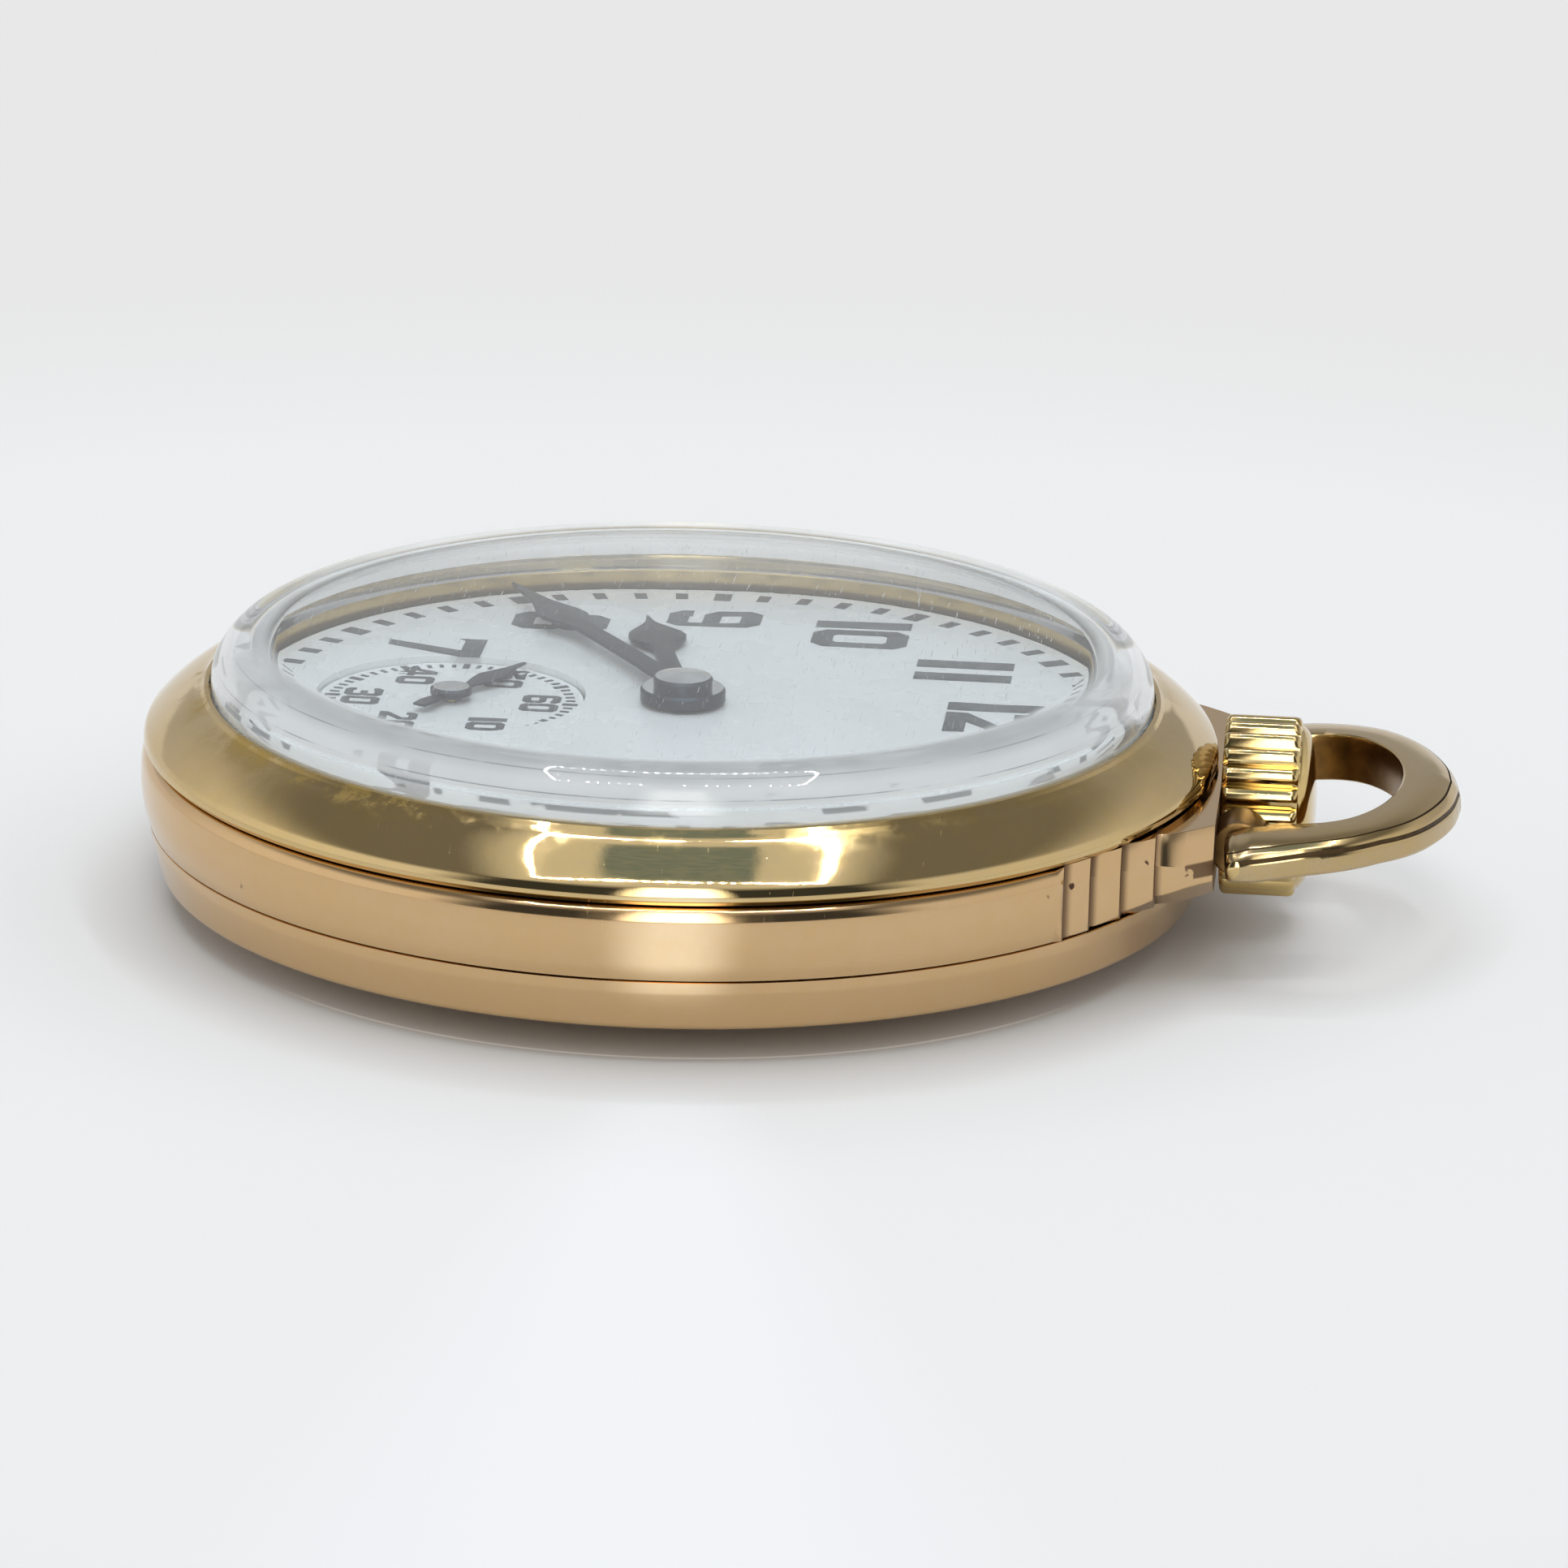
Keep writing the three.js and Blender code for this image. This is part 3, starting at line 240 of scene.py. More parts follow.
def flat_mesh(name, outlines, heights):
    """Mesh of flat shapes between two heights. An outline inside another one is a hole in it."""
    curve = bpy.data.curves.new(name + "_outline", "CURVE")
    curve.dimensions = "2D"
    curve.fill_mode = "BOTH"
    curve.extrude = (heights[1] - heights[0]) / 2 * MM
    for outline in outlines:
        spline = curve.splines.new("POLY")
        spline.points.add(len(outline) - 1)
        for target, (x, y) in zip(spline.points, outline):
            target.co = (x * MM, y * MM, 0, 1)
        spline.use_cyclic_u = True
    drawn = bpy.data.objects.new(name + "_outline", curve)
    bpy.context.scene.collection.objects.link(drawn)
    bpy.context.view_layer.update()
    mesh = bpy.data.meshes.new_from_object(drawn.evaluated_get(bpy.context.evaluated_depsgraph_get()))
    bpy.data.objects.remove(drawn)
    mesh.transform(Matrix.Translation((0, 0, (heights[0] + heights[1]) / 2 * MM)))
    mesh.materials.clear()
    mesh.name = name
    return mesh


# ---------------------------------------------------------------- material helpers

SCRATCH_TURNS = [(0.3, 0.2, 0.4), (1.1, 0.5, 1.7), (0.7, 1.4, 2.6)]  # how the sets of scratches lie


class Shader:
    """The nodes of a material, or of the world, under construction."""

    def __init__(self, name, world=False):
        self.owner = (bpy.data.worlds if world else bpy.data.materials).new(name)
        self.owner.use_nodes = True
        self.tree = self.owner.node_tree
        self.tree.nodes.clear()
        self.output = self.tree.nodes.new("ShaderNodeOutputWorld" if world else "ShaderNodeOutputMaterial")
        self.place = self.add("ShaderNodeTexCoord").outputs["Generated" if world else "Object"]

    def add(self, kind, inputs=None, **settings):
        node = self.tree.nodes.new(kind)
        for key, value in settings.items():
            setattr(node, key, value)
        for key, value in (inputs or {}).items():
            self.set(node.inputs[key], value)
        return node

    def set(self, socket, value):
        if isinstance(value, bpy.types.NodeSocket):
            self.tree.links.new(value, socket)
        elif isinstance(value, tuple) and len(value) == 3 and socket.type == "RGBA":
            socket.default_value = (*value, 1)
        else:
            socket.default_value = value

    def math(self, operation, *values):
        return self.add("ShaderNodeMath", dict(enumerate(values)), operation=operation).outputs[0]

    def fold(self, operation, first, *others):
        for other in others:
            first = self.math(operation, first, other)
        return first

    def times(self, *values):
        return self.fold("MULTIPLY", *values)

    def plus(self, *values):
        return self.fold("ADD", *values)

    def most(self, *values):
        return self.fold("MAXIMUM", *values)

    def ramp(self, value, start, end, low_value=0.0, high_value=1.0):
        """Value that goes smoothly from low_value at start to high_value at end."""
        return self.add("ShaderNodeMapRange", {
            "Value": value, "From Min": start, "From Max": end,
            "To Min": low_value, "To Max": high_value,
        }, interpolation_type="SMOOTHSTEP").outputs["Result"]

    def between(self, value, start, end, soft):
        """1 from start to end and 0 outside, with soft edges."""
        rise = self.ramp(value, start - soft, start + soft)
        return self.times(rise, self.ramp(value, end - soft, end + soft, 1.0, 0.0))

    def line(self, value, centre, half):
        """1 at the centre, falling to 0 at half the width of the line from it."""
        off = self.math("ABSOLUTE", self.math("SUBTRACT", value, centre))
        return self.ramp(off, half * 0.5, half, 1.0, 0.0)

    def along(self, axis):
        product = self.add("ShaderNodeVectorMath", {0: self.place, 1: axis}, operation="DOT_PRODUCT")
        return product.outputs["Value"]

    def mix(self, share, first, second):
        node = self.add("ShaderNodeMix", data_type="RGBA")
        self.set(node.inputs["Factor"], share)
        self.set(node.inputs[6], first)
        self.set(node.inputs[7], second)
        return node.outputs[2]

    def noise(self, scale, detail=4.0, roughness=0.55, vector=None, distortion=0.0):
        return self.add("ShaderNodeTexNoise", {
            "Vector": vector or self.place, "Scale": scale, "Detail": detail,
            "Roughness": roughness, "Distortion": distortion,
        }).outputs["Fac"]

    def xyz(self, vector=None):
        return self.add("ShaderNodeSeparateXYZ", {"Vector": vector or self.place}).outputs

    def radius(self):
        x, y, _ = self.xyz()
        return self.math("SQRT", self.plus(self.times(x, x), self.times(y, y)))

    def scratches(self, scale, threshold):
        """Thin lines in several directions, 1 on a scratch and 0 off it."""
        sets = []
        for turn in SCRATCH_TURNS:
            mapped = self.add("ShaderNodeMapping", {
                "Vector": self.place, "Rotation": turn, "Scale": (1.0, 40.0, 1.0),
            }).outputs[0]
            sets.append(self.ramp(self.noise(scale, 2.0, 0.6, mapped), threshold, threshold + 0.02))
        return self.most(*sets)

    def principled(self, **inputs):
        node = self.add("ShaderNodeBsdfPrincipled")
        for key, value in inputs.items():
            self.set(node.inputs[key.replace("_", " ")], value)
        return node

    def finish(self, shader):
        self.tree.links.new(shader, self.output.inputs["Surface"])
        return self.owner


MOTTLE = 160.0  # scale of the cloudy tone of metal
DIRT_ROUGHNESS = 0.45


def metal(name, tone, worn, roughness, scratch=0.2, dents=0.0, dirt_and_shade=None):
    """Polished metal with cloudy tone, hairlines and fingerprints. dirt_and_shade gives a mask and a tone of dirt,
    which on the case and the bezel also paints shade.
    """
    s = Shader(name)
    cloud = s.ramp(s.noise(MOTTLE, 5.0, 0.6), 0.35, 0.68)
    fine = s.ramp(s.noise(MOTTLE * 9, 3.0, 0.65), 0.3, 0.75)
    colour = s.mix(s.times(s.plus(cloud, fine), 0.5), tone, worn)
    hair = s.scratches(620.0, 0.76)
    smudge = s.ramp(s.noise(MOTTLE * 2.2, 6.0, 0.62, distortion=0.6), 0.45, 0.7)
    rough = s.plus(s.times(smudge, 0.05), roughness, s.times(hair, scratch))
    height = s.plus(s.times(hair, -0.6), s.times(s.noise(MOTTLE * 14, 3.0, 0.6), 0.25))
    if dents:
        height = s.plus(height, s.times(s.noise(MOTTLE * 1.6, 2.0, 0.5), dents))
    if dirt_and_shade:
        # The mask is dirt and wear, and on the case and the bezel partly painted shade.
        dirt, dirt_tone = dirt_and_shade(s)
        colour = s.mix(dirt, colour, dirt_tone)
        rough = s.plus(rough, s.times(dirt, DIRT_ROUGHNESS))
    bump = s.add("ShaderNodeBump", {"Height": height, "Strength": 0.12, "Distance": 0.00003})
    shine = s.principled(Base_Color=colour, Metallic=1.0, Roughness=rough, Normal=bump.outputs[0])
    return s.finish(shine.outputs[0])


def bezel_grime(s):
    """Yellow-brown dirt against the crystal, heaviest on the half towards 6 o'clock, and a dark line in the seam
    against the crystal that is dirt and painted shade.
    """
    away = s.radius()
    near = s.ramp(away, (CRYSTAL_R + 0.5) * MM, (CRYSTAL_R + 1.9) * MM, 1.0, 0.12)
    patches = s.ramp(s.noise(240.0, 6.0, 0.7), 0.42, 0.6)
    heavy = s.ramp(s.xyz()[1], -2 * MM, -12 * MM, 0.35, 0.85)
    # Dirt with painted shade: darker in the seam right against the crystal.
    seam_dirt_and_shade = s.ramp(away, CRYSTAL_R * MM, (CRYSTAL_R + 0.04) * MM, 0.6, 0.0)
    return s.most(s.times(near, patches, heavy), seam_dirt_and_shade), (0.46, 0.31, 0.075)


def case_grime(s):
    """Dark brown painted shade in the steps of the shoulders and on the pendant's end face, with worn pits and a
    ragged patch of dirt on their faces.
    """
    _, y, z = s.xyz()
    # Painted shade: darker just past each ridge, in the scoop of each step.
    steps = s.most(*[
        s.times(s.ramp(y, (ridge - 0.01) * MM, (ridge + 0.02) * MM),
                s.ramp(y, (ridge + 0.05) * MM, (ridge + 0.42) * MM, 0.8, 0.0))
        for ridge, _ in RIDGES
    ])
    wander = s.add("ShaderNodeTexNoise", {"Vector": s.place, "Scale": 1500.0}).outputs["Color"]
    wander = s.add("ShaderNodeVectorMath", {0: wander, 3: 0.0004}, operation="SCALE").outputs[0]
    cells = s.add("ShaderNodeTexVoronoi", {
        "Vector": s.add("ShaderNodeVectorMath", {0: s.place, 1: wander}).outputs[0], "Scale": 800.0,
    })
    chance = s.xyz(cells.outputs["Color"])[0]
    on_shoulders = s.times(s.ramp(chance, 0.66, 0.68), s.ramp(y, 18.6 * MM, 19.0 * MM))
    chosen = s.most(on_shoulders, s.ramp(chance, 0.965, 0.97, 0.0, 0.6))
    pits = s.times(s.ramp(cells.outputs["Distance"], 0.1, 0.17, 1.0, 0.0), chosen,
                   s.ramp(z, 6.9 * MM, 6.7 * MM, 0.0, 1.0))
    ragged = s.plus(y, s.times(s.math("SUBTRACT", s.noise(900.0, 3.0), 0.5), 2.2 * MM))
    patch = s.times(s.ramp(ragged, 24.5 * MM, 24.6 * MM), s.between(z, 5.55 * MM, 6.25 * MM, 0.05 * MM), 0.8)
    # Painted shadow on the pendant's end face next to the crown.
    end = s.ramp(y, (SHOULDER_END - 0.02) * MM, (SHOULDER_END - 0.005) * MM, 0.0, 0.92)
    return s.most(steps, pits, patch, end), (0.10, 0.055, 0.035)


def bow_grime(s):
    """Worn grey metal along the bow's outer band and round the pivots."""
    _, y, z = s.xyz()
    spots = s.ramp(s.noise(300.0, 5.0, 0.65), 0.35, 0.8)
    rise = s.times(s.math("SUBTRACT", y, PIVOT.y * MM), math.tan(BOW_RAISED))
    low_side = s.ramp(s.math("SUBTRACT", z, rise), (STEM_Z + 0.1) * MM, (STEM_Z + 0.5) * MM, 0.85, 0.05)
    return s.times(spots, low_side), (0.47, 0.39, 0.28)


YELLOW = (0.64, 0.47, 0.215)
YELLOW_WORN = (0.60, 0.45, 0.235)
ROSE = (0.62, 0.415, 0.205)
ROSE_WORN = (0.63, 0.435, 0.24)
LEMON = (0.69, 0.515, 0.215)
LEMON_WORN = (0.59, 0.43, 0.20)
DULL = (0.52, 0.375, 0.165)
DULL_WORN = (0.50, 0.37, 0.20)

yellow_gold = metal("yellow_gold", YELLOW, YELLOW_WORN, 0.032, dents=4.0, dirt_and_shade=bezel_grime)
rose_gold = metal("rose_gold", ROSE, ROSE_WORN, 0.11, dents=2.0)
case_gold = metal("case_gold", ROSE, ROSE_WORN, 0.11, dents=2.0, dirt_and_shade=case_grime)
crown_gold = metal("crown_gold", LEMON, LEMON_WORN, 0.1)
bow_gold = metal("bow_gold", DULL, DULL_WORN, 0.13, scratch=0.3, dirt_and_shade=bow_grime)
# Dark brown painted shade for the bow's hollow sides and the knuckles.
bow_shade = metal("bow_shade", (0.30, 0.17, 0.055), (0.16, 0.09, 0.035), 0.28, scratch=0.3)
groove_dirt = metal("groove_dirt", (0.10, 0.065, 0.03), (0.05, 0.032, 0.018), 0.45)
steel = metal("steel", (0.50, 0.51, 0.53), (0.42, 0.43, 0.45), 0.2)
nickel = metal("nickel", (0.55, 0.55, 0.53), (0.47, 0.47, 0.46), 0.24)
brass = metal("brass", (0.56, 0.43, 0.18), (0.46, 0.35, 0.15), 0.24)
polished = metal("polished_steel", (0.90, 0.92, 0.95), (0.80, 0.82, 0.85), 0.14)
blued = metal("blued_steel", (0.035, 0.045, 0.062), (0.055, 0.065, 0.08), 0.34)


def enamel_material():
    s = Shader("enamel")
    stain = s.ramp(s.noise(90.0, 5.0, 0.6), 0.4, 0.75)
    colour = s.mix(stain, (0.82, 0.83, 0.84), (0.80, 0.812, 0.822))
    rough = s.ramp(s.noise(300.0, 3.0), 0.3, 0.7, 0.22, 0.34)
    ripple = s.add("ShaderNodeBump", {"Height": s.noise(160.0, 2.0), "Strength": 0.05, "Distance": 0.00005})
    glaze = s.principled(Base_Color=colour, Roughness=rough, Coat_Weight=0.3, Normal=ripple.outputs[0])
    return s.finish(glaze.outputs[0])


def ink_material():
    s = Shader("dial_ink")
    worn = s.ramp(s.noise(700.0, 4.0, 0.6), 0.35, 0.8)
    colour = s.mix(worn, (0.030, 0.036, 0.044), (0.070, 0.080, 0.092))
    ink = s.principled(Base_Color=colour, Roughness=s.ramp(s.noise(900.0), 0.3, 0.7, 0.4, 0.6))
    return s.finish(ink.outputs[0])


def crystal_material():
    """Scratched acrylic with a hazed shoulder. Its tone there is painted light and shade: white on the far side,
    grey on the near side with turning lines, and painted dark dashes where the numerals would show through the
    wall."""
    s = Shader("crystal")
    hair = s.scratches(420.0, 0.725)
    height = s.plus(s.times(hair, -0.5), s.times(s.noise(120.0, 2.0), 0.6))
    bump = s.add("ShaderNodeBump", {"Height": height, "Strength": 0.05, "Distance": 0.00003})
    x, _, up = s.xyz()
    away = s.radius()
    near_side = s.ramp(x, -4 * MM, 4 * MM)
    shoulder = s.times(
        s.ramp(away, (CRYSTAL_R - 3.1) * MM, (CRYSTAL_R - 2.2) * MM),
        s.ramp(up, (CRYSTAL_SEAM + 0.7) * MM, (CRYSTAL_SEAM + 1.0) * MM),
    )
    wall = s.ramp(away, (CRYSTAL_R - 0.1) * MM, (CRYSTAL_R - 0.05) * MM)
    haze = s.times(
        s.ramp(s.noise(160.0, 3.0, 0.5), 0.3, 0.75, 0.85, 1.0),
        s.most(s.ramp(x, -14 * MM, -4 * MM, 0.74, 0.3), s.ramp(x, 2 * MM, 12 * MM, 0.3, 0.84)),
    )
    lines = s.most(s.line(up, (CRYSTAL_SEAM + 1.12) * MM, 0.035 * MM),
                   s.line(up, (CRYSTAL_SEAM + 1.95) * MM, 0.03 * MM))
    lines = s.times(lines, s.ramp(s.noise(260.0), 0.35, 0.6))
    # The dashes are a painted image of the numerals seen through the near wall.
    dashes = s.times(s.line(up, (CRYSTAL_SEAM + 0.55) * MM, 0.2 * MM),
                     s.ramp(s.noise(300.0, 2.0), 0.54, 0.57), wall, near_side)
    milky = s.most(
        s.times(shoulder, haze), s.times(wall, s.ramp(x, 2 * MM, 12 * MM, 0.0, 0.5)),
        s.times(dashes, 0.75), s.times(hair, 0.4),
    )
    # Painted light and shade in the haze: grey on the near side, darker higher up, and white on the far side as a
    # painted refraction of the bright surroundings.
    near_painted_shade = s.mix(s.ramp(up, (CRYSTAL_SEAM + 2.25) * MM, (CRYSTAL_SEAM + 1.5) * MM),
                      (0.21, 0.22, 0.225), (0.38, 0.39, 0.395))
    tone = s.mix(near_side, (0.80, 0.83, 0.85), near_painted_shade)
    tone = s.mix(lines, tone, (0.10, 0.11, 0.12))
    tone = s.mix(dashes, tone, (0.035, 0.04, 0.045))
    tone = s.mix(milky, (0.90, 0.925, 0.935), tone)
    acrylic = s.principled(
        Base_Color=tone, Roughness=s.times(hair, 0.25), IOR=1.49,
        Transmission_Weight=s.math("SUBTRACT", 1.0, milky), Normal=bump.outputs[0],
    )
    path = s.add("ShaderNodeLightPath")
    lit = s.most(path.outputs["Is Shadow Ray"], path.outputs["Is Diffuse Ray"])
    clear = s.add("ShaderNodeBsdfTransparent", {"Color": (0.9, 0.92, 0.93)})
    both = s.add("ShaderNodeMixShader", {0: lit, 1: acrylic.outputs[0], 2: clear.outputs[0]})
    return s.finish(both.outputs[0])


enamel = enamel_material()
ink = ink_material()
acrylic = crystal_material()

# ---------------------------------------------------------------- case

CRYSTAL_SHIFT = (1.3, 0.8)  # from the outside of the crystal to its inside, across and down


def build_crystal():
    dome_radius, steps = 300.0, 12
    stations = [(CRYSTAL_R - 3.2) * i / steps for i in range(steps + 1)]
    top = [(r, CRYSTAL_TOP - r**2 / (2 * dome_radius)) for r in stations]
    outside = top[:-1] + filleted([
        top[-1], (CRYSTAL_R - 1.05, CRYSTAL_TOP - 0.72, 2.4), (CRYSTAL_R, CRYSTAL_TOP - 2.05, 2.4),
        (CRYSTAL_R, CRYSTAL_FOOT, 0),
    ], 0, 10)
    across, down = CRYSTAL_SHIFT
    inside = [(r - across, z - down) for r, z in outside]
    inside = [(r, z) for r, z in inside if r > 0.5 and z > CRYSTAL_FOOT + 0.3]
    inside = [(0, CRYSTAL_TOP - down), *inside, (CRYSTAL_R - across - 0.25, CRYSTAL_FOOT)]
    profile = outside + inside[::-1]
    add_mesh("crystal_lens", *lathe(profile), "bezel", "crystal", acrylic, ["crystal"], smooth=40)


def arc_between(start, end, start_normal, end_normal, count):
    """Points from start to end of a line whose normal turns evenly between two elevations in degrees."""
    change = (end_normal - start_normal) / count
    angles = [math.radians(start_normal + change * (i + 0.5)) for i in range(count)]
    steps = [np.array((math.sin(a), -math.cos(a))) for a in angles]
    total = sum(steps)
    wanted = np.array(end, float) - np.array(start, float)
    points, here = [tuple(start)], np.array(start, float)
    for step in steps:
        here = here + step * wanted / total
        points.append(tuple(here))
    return points


def build_bezel():
    foot = BEZEL_SEAM + 0.06
    face = arc_between((22.72, 10.05), (24.93, 8.46), 68, 40.5, 26)
    turn = arc_between((24.93, 8.46), (25.095, 7.98), 40.5, 2, 10)[1:]
    profile = filleted([
        (CRYSTAL_R + 0.05, CRYSTAL_SEAM - 0.25, 0), (CRYSTAL_R + 0.08, CRYSTAL_SEAM - 0.01, 0.05),
        (22.3, 10.35, 0.06), (22.46, 10.19, 0.08), (22.72, 10.05, 0),
    ], 0.05, 3)[:-1]
    profile += face + turn + filleted([
        (25.095, 7.98, 0), (BEZEL_R, 7.92, 0), (24.9, foot, 0.03), (THREAD_R - 0.1, foot, 0),
        (THREAD_R - 0.1, BEZEL_FOOT, 0), (22.4, BEZEL_FOOT, 0), (22.3, 8.6, 0.1), (20.95, 8.8, 0.1),
        (20.75, 9.7, 0.1), (CRYSTAL_R + 0.05, 9.7, 0),
    ], 0.05)[1:]
    add_mesh("bezel_ring", *lathe(profile), "bezel", "yellow_gold", yellow_gold, ["bezel"], smooth=24)


def build_back():
    outside = filleted([
        (16.9, 0.0), (18.5, 0.02, 4.0), (24.3, 1.73, 0.4), (24.74, 3.5, 2.0), (BACK_R, BACK_RIM - 0.04),
    ], 1.0, 12)
    profile = [(0, 0), (16.6, 0)] + outside + filleted([
        (BACK_R, BACK_RIM - 0.04), (BACK_R - 0.06, BACK_RIM, 0.03), (THREAD_R - 0.1, BACK_RIM, 0),
        (THREAD_R - 0.1, BACK_LIP, 0.05), (22.5, BACK_LIP, 0.05), (22.5, 2.4, 0.4), (21.8, 1.75, 0.4),
        (20, 1.2, 0.4), (16.8, 0.72, 0.4), (0, 0.72),
    ], 0.05)[1:]
    add_mesh("back_cover", *lathe(profile), "case_back", "rose_gold", rose_gold, ["case_back"], smooth=30)


# The outside of the case middle is one row of wall sections round the watch. Between the two shoulders the
# wall runs across the pendant's end.
BULGE = (BAND_R - 0.015, 6.93)  # widest point of the band
BAND = [(24.66, 7.6)] + arc_between((24.84, 7.53), BULGE, 52, 6, 8)
BAND += arc_between(BULGE, (24.84, 4.16), 5, -16, 9)[1:]
WALL_POINTS = len(BAND)
BAND_MEETS = (16.8, 18.75)  # where the band runs into the right shoulder: x and y
BAND_SECTIONS = 220
# The plain face of a shoulder: y and half width, as in RIDGES.
SHOULDER_SIDE = [(24.1, 10.95), (24.8, 10.4), (SHOULDER_END, 9.92), (SHOULDER_END + 1, 9.3)]


def band_section(angle):
    return [(r * math.cos(angle), r * math.sin(angle), z) for r, z in BAND]


def shoulder_plan():
    """Half width of the shoulders at each y, from the band outwards: scooped steps, then a plain face."""
    plan = []
    ends = RIDGES[1:] + SHOULDER_SIDE[:1]
    for i, ((y, half), (next_y, next_half)) in enumerate(zip(RIDGES, ends)):
        depth = 0.34 if i == 0 else 0.52
        plan.append((y, half))
        for t in (0.03, 0.1, 0.2, 0.35, 0.55, 0.75, 0.97):
            scoop = depth * (1 - t) ** 1.9
            plan.append((y + (next_y - y) * t, half + (next_half - half) * t - scoop))
    return plan + SHOULDER_SIDE


def shoulder_section(y, half):
    """Wall of the right shoulder: top chamfer, upright face and a bevel tucked in below."""
    to_end = share_of_way(y, RIDGES[0][0], SHOULDER_END)
    chamfer = 0.35 + 0.75 * to_end
    drop = 0.8 + 0.7 * to_end
    under = BACK_SEAM + 0.15 + 0.95 * share_of_way(y, 20.2, 24.4)
    tuck = 0.25 + 1.6 * to_end
    top = BEZEL_SEAM - 0.02
    wall = filleted([
        (half - chamfer - 0.5, top, 0), (half - chamfer, top, 0.06), (half, top - drop, 0.1),
        (half, under, 0.12), (half - tuck, BACK_SEAM, 0),
    ], 0.1, 4)
    steps = [i * (len(wall) - 1) / (WALL_POINTS - 1) for i in range(WALL_POINTS)]
    across, heights = (np.interp(steps, range(len(wall)), line) for line in zip(*wall))
    return [(float(x), y, float(z)) for x, z in zip(across, heights)]


def build_middle():
    right = [shoulder_section(y, half) for y, half in shoulder_plan()]
    left = [[(-x, y, z) for x, y, z in section] for section in reversed(right)]
    start = math.atan2(BAND_MEETS[1], BAND_MEETS[0])
    sweep = math.pi + 2 * start
    band = [band_section(math.pi - start + sweep * i / BAND_SECTIONS) for i in range(BAND_SECTIONS + 1)]
    sections = []
    for wall in right + left + band:
        direction = Vector((wall[0][0], wall[0][1])).normalized()
        inner = [(THREAD_R, BACK_SEAM), (THREAD_R, SHELF[0]), (SHELF_R, SHELF[0]), (SHELF_R, SHELF[1]),
                 (THREAD_R, SHELF[1]), (THREAD_R, BEZEL_SEAM - 0.02)]
        sections.append(wall + [(direction.x * r, direction.y * r, z) for r, z in inner])
    points, faces = swept(sections)
    work = bmesh.new()
    corners = [work.verts.new(Vector(p) * MM) for p in points]
    for face in faces:
        work.faces.new([corners[i] for i in face])
    end = bmesh.ops.bisect_plane(
        work, geom=[*work.verts, *work.edges, *work.faces],
        plane_co=(0, SHOULDER_END * MM, 0), plane_no=(0, 1, 0), clear_outer=True,
    )
    rim = [item for item in end["geom_cut"] if isinstance(item, bmesh.types.BMEdge)]
    bmesh.ops.contextual_create(work, geom=rim)
    mesh = bpy.data.meshes.new("case_band")
    work.to_mesh(mesh)
    work.free()
    finish_mesh("case_band", mesh, "case", case_gold, ["case_middle"], smooth=24)


KNUCKLE_X = (4.55, 7.15)
KNUCKLE_R = 1.3
SIDES = ((1, "right"), (-1, "left"))


def lathe_on_pivot(profile, side, segments):
    """Like lathe, but turned about the bow's pivots. Heights run outwards on one side."""
    points, faces = lathe(profile, segments=segments)
    return [(side * z, PIVOT.y + x, STEM_Z + y) for x, y, z in points], faces


def build_knuckles():
    near, far = KNUCKLE_X
    profile = filleted([(0, near), (KNUCKLE_R, near), (KNUCKLE_R, far), (0, far)], 0.16)
    for side, name in SIDES:
        knuckle = lathe_on_pivot(profile, side, 48)
        # The knuckles take the dark painted shade.
        add_mesh("bow_knuckle_" + name, *knuckle, "case", "rose_gold", bow_shade, smooth=30)


# ---------------------------------------------------------------- crown and bow

FLUTES = 24
FLUTE_DEPTH = 0.36
POINTS_PER_FLUTE = 12


def build_crown():
    base, tip = SHOULDER_END + 0.02, CROWN_TIP
    shoulder = tip - 0.8
    rows = [  # [radius, height, share of the flute depth]
        (CROWN_R - 0.42, base, 0.2), (CROWN_R - 0.2, base + 0.03, 0.6), (CROWN_R - 0.03, base + 0.16, 1.0),
        (CROWN_R, base + 0.3, 1.0), (CROWN_R, shoulder - 0.3, 1.0), (CROWN_R - 0.03, shoulder - 0.14, 1.0),
        (CROWN_R - 0.17, shoulder - 0.02, 0.55), (CROWN_R - 0.4, shoulder + 0.02, 0.0),
    ]
    dome = curve_through([
        (CROWN_R - 0.4, shoulder + 0.02), (CROWN_R - 0.52, shoulder + 0.2), (3.3, tip - 0.34),
        (2.3, tip - 0.12), (1.1, tip - 0.02), (0.3, tip),
    ], 14)[1:]
    rows += [(r, y, 0.0) for r, y in dome]
    hollow = [(0.75, base + 2.0), (1.7, base + 1.9), (1.7, base + 0.1), (1.8, base)]
    count = FLUTES * POINTS_PER_FLUTE
    points = []

    def ring(radius, y, depth):
        for i in range(count):
            angle = 2 * math.pi * i / count
            groove = 1 - abs(math.sin(angle * FLUTES / 2)) ** 0.9
            r = radius - FLUTE_DEPTH * depth * groove
            points.append((r * math.cos(angle), y, STEM_Z + r * math.sin(angle)))

    for radius, y in hollow:
        ring(radius, y, 0)
    for radius, y, depth in rows:
        ring(radius, y, depth)
    total = len(hollow) + len(rows)
    faces = []
    for s in range(total - 1):
        for i in range(count):
            j = (i + 1) % count
            faces.append((s * count + i, s * count + j, (s + 1) * count + j, (s + 1) * count + i))
    faces.append(tuple(range(count)))
    faces.append(tuple(reversed(range((total - 1) * count, total * count))))
    add_mesh("crown_fluted", points, faces, "crown", "crown_gold", crown_gold, ["crown"], smooth=50)


